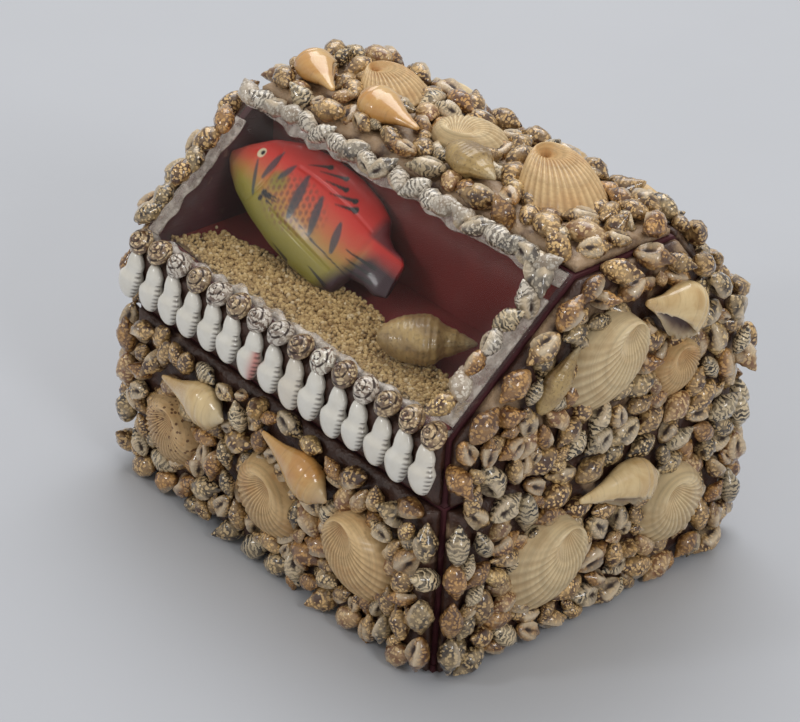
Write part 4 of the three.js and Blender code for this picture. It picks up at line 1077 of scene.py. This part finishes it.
for i in range(fringe["count"]):
    u = fringeStart + i * fringe["pitch"]
    draw()
    lean = turnedRail(0.3 * (draw() - 0.5), "X") @ turnedRail(fringe["buttonTilt"], "X")
    at = [u + 0.5 * (draw() - 0.5), buttonV + 0.8 * (draw() - 0.5), box["bed"] - 0.4]
    buttons.append({"place": onFace("frontRail", at),
                    "turn": tuple((railAxes @ lean @ turnedRail(draw() * 6.28)).to_euler()),
                    "stretch": (fringe["button"] * 1.08,) * 2 + (fringe["buttonHeight"],),
                    "form": i % 2, **coloured(draw, buttonPalette)})
    hang = railAxes @ turnedRail(-math.pi / 2 + 0.07 * ((i % 3) - 0.8) + 0.12 * (draw() - 0.5))
    at = [u + 0.8 * (draw() - 0.5), paleV + 0.9 * (draw() - 0.5), box["bed"] + fringe["paleLift"]]
    pales.append({"place": onFace("frontRail", at),
                  "turn": tuple((hang @ turnedRail(-0.15, "Y")).to_euler()),
                  "stretch": (fringe["paleLength"] * (0.95 + 0.1 * draw()), fringe["paleWidth"],
                              fringe["paleWidth"] * 0.85),
                  "form": 1 if i == fringe["pink"] else 2 * (i % 2)})
for name, spots, forms, look, seed in [
        ("front_fringe_buttons", buttons, collect("buttonForms", buttonShell, 2), "smallShell", 5),
        ("front_fringe_pale", pales, collect("paleForms", paleShell, 3), "pale", 6)]:
    keep(scattered(name, spots, forms, look, seed), look, "front_fringe_shells")
keep(glueBed("front_fringe_glue", rectangle(w, box["frontRail"]), "frontRail", 91, 0.1, box["touch"]),
     "glue", "front_fringe_shells")
print("fringe made")

# The clear sheet, a little bulged between its glued edges
film = {"bulge": 1.5, "wave": 0.12, "waveSize": 40, "thin": 0.45, "cols": 56, "rows": 24, "footStrip": 3}


def bulgedFilm():
    foot = box["touch"] + box["film"]
    u, v = np.meshgrid(np.linspace(box["touch"], w - box["touch"], film["cols"] + 1),
                       np.linspace(foot, windowLength - box["touch"], film["rows"] + 1))
    inU = np.clip((u - box["border"]) / (w - 2 * box["border"]), 0, 1)
    lowEdge = foot + film["footStrip"]
    inV = np.clip((v - lowEdge) / (windowLength - lowEdge - box["border"]), 0, 1)
    lift = film["bulge"] * (np.sin(math.pi * inU) * np.sin(math.pi * inV)) ** 0.7
    lift = lift + film["wave"] * ripple(u, v, 3, film["waveSize"]) * np.sin(math.pi * inU)
    rim = np.exp(-np.minimum(np.minimum(inU, 1 - inU) * 120, np.minimum(inV, 1 - inV) * 44) / 2.5)
    points, quads = slab(np.stack([u, v, lift + foot], -1), np.stack([u, v, lift + foot - film["thin"]], -1))
    return solid("window_sheet", onFace("window", points), quads, "film", {"rim": np.tile(rim.ravel(), 2)})


keep(bulgedFilm(), "film", "window")

# Sand: a low uneven bed under loose coarse grains
sand = {"thick": 1.3, "grains": 3400, "grain": 1.5, "seed": 21, "stray": 0.04, "strayReach": 1.12,
        "sides": 96, "rings": (0.15, 0.35, 0.55, 0.75, 0.9, 0.985), "strayLift": 0.35,
        "fromBack": 1.2, "fromFront": 1, "grainRings": ((-0.28, 0.34), (0.1, 0.5), (0.36, 0.26)),
        # the bed's edge, in shares of the chamber's width and depth
        "edge": [(0.01, 0.12), (0.3, 0.04), (0.62, 0.03), (0.86, 0.05), (0.97, 0.14), (0.96, 0.3),
                 (0.84, 0.42), (0.66, 0.5), (0.5, 0.62), (0.34, 0.6), (0.2, 0.5), (0.06, 0.44)]}
chamberDepth = chamberBack - railInside
sandEdge = np.array([((x - 0.5) * 2 * spanX, railInside + box["touch"] + y * chamberDepth)
                     for x, y in sand["edge"]])
sandMiddle = sandEdge.mean(0)
floorZ = chamberFloor + box["touch"]


def sandBed():
    share = np.arange(sand["sides"]) / sand["sides"] * len(sandEdge)
    start, part = share.astype(int), (share % 1)[:, None]
    reach = sandEdge[start] * (1 - part) + sandEdge[(start + 1) % len(sandEdge)] * part - sandMiddle
    rings = []
    for k in sand["rings"]:
        at = sandMiddle + reach * (k + 0.02 * ripple(share * 3, share * 0, 8, 4)[:, None] * k)
        mound = (1 - 0.75 * k ** 6) * (0.62 + 0.14 * ripple(at[:, 0], at[:, 1], 5, 12))
        rings.append(np.column_stack([at, floorZ + sand["thick"] * mound]))
    foot = sandMiddle + reach * sand["rings"][-1]
    rings.append(np.column_stack([foot, np.full(len(foot), floorZ)]))
    points, quads = skin(rings)
    return solid("sand_bed_base", points, quads, "sand", {"tint": np.full(len(points), 0.2)})


keep(sandBed(), "sand", "sand_bed")


def insidePolygon(x, y, polygon):
    inside = False
    for (x0, y0), (x1, y1) in zip(polygon, np.roll(polygon, -1, 0)):
        if (y0 > y) != (y1 > y) and x < x0 + (x1 - x0) * (y - y0) / (y1 - y0):
            inside = not inside
    return inside


def grainForm(variant):
    draw = stream(70 + variant * 11)
    rings = []
    for z, r in sand["grainRings"]:
        rings.append([(math.cos(i * 6.283 / 5) * r * (0.8 + 0.4 * draw()),
                       math.sin(i * 6.283 / 5) * r * (0.8 + 0.4 * draw()), z) for i in range(5)])
    points, quads = skin(rings, (0, 0, -0.42), (0, 0, 0.48))
    return solid(f"grain{variant}", points / mm, quads, "sand", {"shellPlace": points}, linked=False)


draw = stream(sand["seed"])
low, spread = sandEdge.min(0), sandEdge.max(0) - sandEdge.min(0)
strayEdge = sandMiddle + (sandEdge - sandMiddle) * sand["strayReach"]
grains = []
while len(grains) < sand["grains"]:
    x, y = low[0] + draw() * spread[0], low[1] + draw() * spread[1]
    stray = draw() < sand["stray"]
    if not (insidePolygon(x, y, sandEdge) or stray and insidePolygon(x, y, strayEdge)):
        continue
    if y > chamberBack - sand["fromBack"] or y < railInside + sand["fromFront"]:
        continue
    size = sand["grain"] * (0.65 + 0.7 * draw())
    top = sand["strayLift"] if stray else sand["thick"] * (0.72 + 0.5 * draw())
    grains.append({"place": (x, y, floorZ + top), "turn": (draw() * 6.28, draw() * 6.28, draw() * 6.28),
                   "stretch": (size, size, size * 0.85), "form": int(draw() * 4)})
grainForms = collect("grainForms", grainForm, 4)
keep(scattered("sand_bed_grains", grains, grainForms, "sand", 9), "sand", "sand_bed")
print("sand made")

# The carved fish, in shares of its length
fish = {"length": 1.3 * windowLength, "steeper": 4.5, "twist": 0.175, "along": (0.982, 0.064, -0.178),
        "cols": 270, "around": 220, "rounds": 9,
        # each station: the back's two coordinates, the belly's two, and half the thickness
        "stations": [(-0.002, 0.008, -0.002, -0.012, 0.006), (0.012, 0.02, 0.012, -0.035, 0.018),
                     (0.06, 0.075, 0.06, -0.075, 0.042), (0.14, 0.15, 0.14, -0.122, 0.06),
                     (0.26, 0.208, 0.26, -0.165, 0.073), (0.42, 0.234, 0.42, -0.205, 0.08),
                     (0.57, 0.232, 0.56, -0.222, 0.076), (0.7, 0.206, 0.7, -0.224, 0.062),
                     (0.79, 0.17, 0.78, -0.2, 0.047), (0.83, 0.115, 0.81, -0.11, 0.036),
                     (0.88, 0.088, 0.87, -0.1, 0.028), (0.94, 0.08, 0.94, -0.108, 0.024),
                     (0.962, 0.06, 0.992, -0.085, 0.014)],
        # painted strokes: start, narrow end, width, dot at the start
        "strokes": [((0.448, 0.188), (0.368, 0.143), 0.008, 0.013),
                    ((0.538, 0.19), (0.427, 0.149), 0.008, 0.012),
                    ((0.575, 0.154), (0.48, 0.134), 0.009, 0.012),
                    ((0.639, 0.141), (0.529, 0.103), 0.009, 0.013),
                    ((0.665, 0.113), (0.581, 0.081), 0.01, 0.015),
                    ((0.284, -0.08), (0.292, -0.076), 0.008, 0.012),
                    ((0.286, -0.055), (0.363, -0.041), 0.01, 0.014),
                    ((0.3, -0.063), (0.37, -0.054), 0.006, 0), ((0.317, -0.074), (0.365, -0.076), 0.005, 0),
                    ((0.543, -0.212), (0.444, -0.191), 0.007, 0),
                    ((0.75, -0.195), (0.646, -0.174), 0.008, 0),
                    ((0.588, -0.086), (0.374, -0.039), 0.0025, 0),
                    ((0.588, -0.086), (0.902, -0.125), 0.004, 0),
                    ((0.881, -0.023), (0.74, -0.033), 0.009, 0.01),
                    ((0.883, -0.052), (0.756, -0.063), 0.008, 0),
                    ((0.905, -0.076), (0.771, -0.093), 0.008, 0)],
        "stripes": [((0.159, 0.035), (0.24, -0.088), 0.009), ((0.235, 0.12), (0.234, -0.008), 0.015),
                    ((0.326, 0.106), (0.302, 0.029), 0.015), ((0.406, 0.104), (0.449, -0.069), 0.023),
                    ((0.519, 0.072), (0.574, -0.072), 0.019), ((0.656, 0.035), (0.698, -0.076), 0.018)],
        "eye": (0.15, 0.067), "pupil": (0.155, 0.07), "nose": (-0.004, -0.002), "tailEnd": (0.975, -0.01)}


def stroke(x, y, start, end, wide, dot=0.0):    # a painted stroke that narrows to its far end
    a, b = np.array(start), np.array(end)
    run = b - a
    s = np.clip(((x - a[0]) * run[0] + (y - a[1]) * run[1]) / (run @ run), 0, 1)
    gap = np.hypot(x - a[0] - s * run[0], y - a[1] - s * run[1])
    mask = np.clip((wide * (1 - 0.85 * s) - gap) / 0.0025 + 0.5, 0, 1)
    if dot:
        mask = np.maximum(mask, np.clip((dot - np.hypot(x - a[0], y - a[1])) / 0.0025 + 0.5, 0, 1))
    return mask


def carvedFish():
    stations = np.array(fish["stations"])
    key = np.linspace(0, 1, len(stations))
    t = np.linspace(0, 1, fish["cols"])
    level = np.column_stack([np.interp(t, key, stations[:, k]) for k in range(5)])
    for _ in range(fish["rounds"]):                  # round the stations into each other
        level[1:-1] = (level[:-2] + 2 * level[1:-1] + level[2:]) / 4
    theta = np.arange(fish["around"]) / fish["around"] * 2 * math.pi
    lift = np.sign(np.sin(theta)) * np.abs(np.sin(theta)) ** 0.95
    full = np.sign(np.cos(theta)) * np.abs(np.cos(theta)) ** 0.8
    shareUp = (1 + lift) / 2
    x = level[:, 2:3] + (level[:, 0:1] - level[:, 2:3]) * shareUp
    y = level[:, 3:4] + (level[:, 1:2] - level[:, 3:4]) * shareUp
    z = level[:, 4:5] * full
    gill = np.exp(-((np.hypot(x - 0.1, y * 0.8) - 0.155) / 0.006) ** 2) * (x > 0.1)
    fin = np.exp(-(((y - 0.115 + 0.3 * (x - 0.45) ** 2)) / 0.007) ** 2) * (x > 0.34) * (x < 0.78)
    belly = np.exp(-((y + 0.1 + 0.12 * (x - 0.4)) / 0.006) ** 2) * (x > 0.36) * (x < 0.74)
    z = z * (1 - 0.1 * gill - 0.09 * fin - 0.1 * belly - 0.12 * np.exp(-((x - 0.8) / 0.012) ** 2))
    scale = fish["length"]
    nose, tailEnd = ((px * scale, py * scale, 0) for px, py in (fish["nose"], fish["tailEnd"]))
    points, quads = skin(np.stack([x, y, z], -1) * scale, nose, tailEnd)
    px, py = points[:, 0] / scale, points[:, 1] / scale
    top = np.interp(px, stations[:, 0], stations[:, 1])
    low = np.interp(px, stations[:, 2], stations[:, 3])
    strokes = np.zeros(len(points))
    for start, end, wide, dot in fish["strokes"]:
        strokes = np.maximum(strokes, stroke(px, py, start, end, wide, dot))
    eye, pupil = fish["eye"], fish["pupil"]
    eyeGap = np.hypot(px - eye[0], (py - eye[1]) * 0.9)
    strokes = np.maximum(strokes, np.clip((0.0115 - np.hypot(px - pupil[0], py - pupil[1])) / 0.0025, 0, 1))
    stripes = np.zeros(len(points))
    for (sx, sy), (ex, ey), wide in fish["stripes"]:
        run = np.hypot(ex - sx, ey - sy)
        s = np.clip(((px - sx) * (ex - sx) + (py - sy) * (ey - sy)) / run ** 2, 0, 1)
        gap = np.hypot(px - sx - s * (ex - sx), py - sy - s * (ey - sy))
        body = wide * np.sin(math.pi * np.clip(0.1 + 0.75 * s, 0, 1)) ** 0.8
        stripes = np.maximum(stripes, np.clip((body - gap) / 0.006 + 0.4, 0, 1))
    u, v = (px + 0.25 * py) / 0.0245, py / 0.031     # rows of oval scales
    v = v + 0.5 * (np.floor(u) % 2)
    cell = np.hypot((u % 1) - 0.5, (v % 1) - 0.5)
    zone = np.clip(1.5 - ((px - 0.43) / 0.15) ** 2 - ((py + 0.02) / 0.1) ** 2, 0, 1) ** 0.6
    net = np.clip((0.41 - cell) / 0.1, 0, 1) * zone
    leaf = np.clip(1.2 - ((px - 0.31) / 0.055) ** 2 - ((py - 0.015) / 0.05) ** 2, 0, 1)
    tail = np.clip((px - 0.77 - 0.5 * (py + 0.05)) / 0.06, 0, 1) * np.clip(0.8 - py * 14, 0, 1)
    tail = np.maximum(tail, np.clip((px - 0.76) / 0.04, 0, 1) * np.clip((py - 0.06) / 0.02, 0, 0.8))
    return points, quads, {"along": px, "height": np.clip((py - low) / (top - low), 0, 1),
                           "stroke": strokes, "stripe": stripes, "net": net, "leaf": leaf, "tail": tail,
                           "ring": np.clip((0.0215 - eyeGap) / 0.003, 0, 1)}


def centred(points, node):      # moved to the middle of the node's own box
    low, high = (np.array(c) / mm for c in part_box(node))
    return points + (low + high) / 2 - (points.min(0) + points.max(0)) / 2


tilt = windowAngle + math.radians(fish["steeper"])
lean = Vector((fish["twist"], -math.sin(tilt), math.cos(tilt))).normalized()
alongFish = Vector(fish["along"])
upFish = lean.cross(alongFish).normalized()
alongFish = upFish.cross(lean).normalized()
points, quads, extra = carvedFish()
points = centred(points @ np.array([alongFish, upFish, lean]), "carved_fish")
keep(solid("carved_fish_painted", points, quads, "fish", extra), "fish", "carved_fish")
inward = np.array([0, math.sin(windowAngle), -math.cos(windowAngle)])
clearance = ((points - faces["window"]["origin"]) @ inward).min()
print("fish under the sheet by", round(float(clearance), 2), "mm")

# The whelk on the sand, in shares of the window's length, its spire pointing away to the right
displayed = {"length": 0.5, "girth": 0.295, "flat": 0.8, "knobs": 13, "points": 225}
points, quads, extra = whelk(displayed["length"] * windowLength, displayed["girth"] * windowLength,
                             "spire", displayed["flat"], displayed["knobs"])
points = centred(points @ turnedBy(math.radians(displayed["points"])), "display_whelk")
keep(solid("display_whelk_shell", points, quads, "brownWhelk", extra), "brownWhelk", "display_whelk")

# Plain pale floor under the box, and tidying
tableCorners = [(x * 3000, y * 3000, 0) for x, y in ((-1, -1), (1, -1), (1, 1), (-1, 1))]
table = solid("table", tableCorners, [(0, 1, 2, 3)], "flock")
table.data.materials.clear()


def floorFinish(s):
    shade = tuple(c * 0.94 for c in studio["floor"][:3])
    return {"Base Color": s.mix(s.noise(s.place(), 9, 3), studio["floor"], shade), "Roughness": 0.9}


table.data.materials.append(finish("floor", floorFinish))
for group in list(bpy.data.collections):
    if group.name.endswith("Forms"):
        for form in list(group.objects):
            bpy.data.objects.remove(form)
        bpy.data.collections.remove(group)
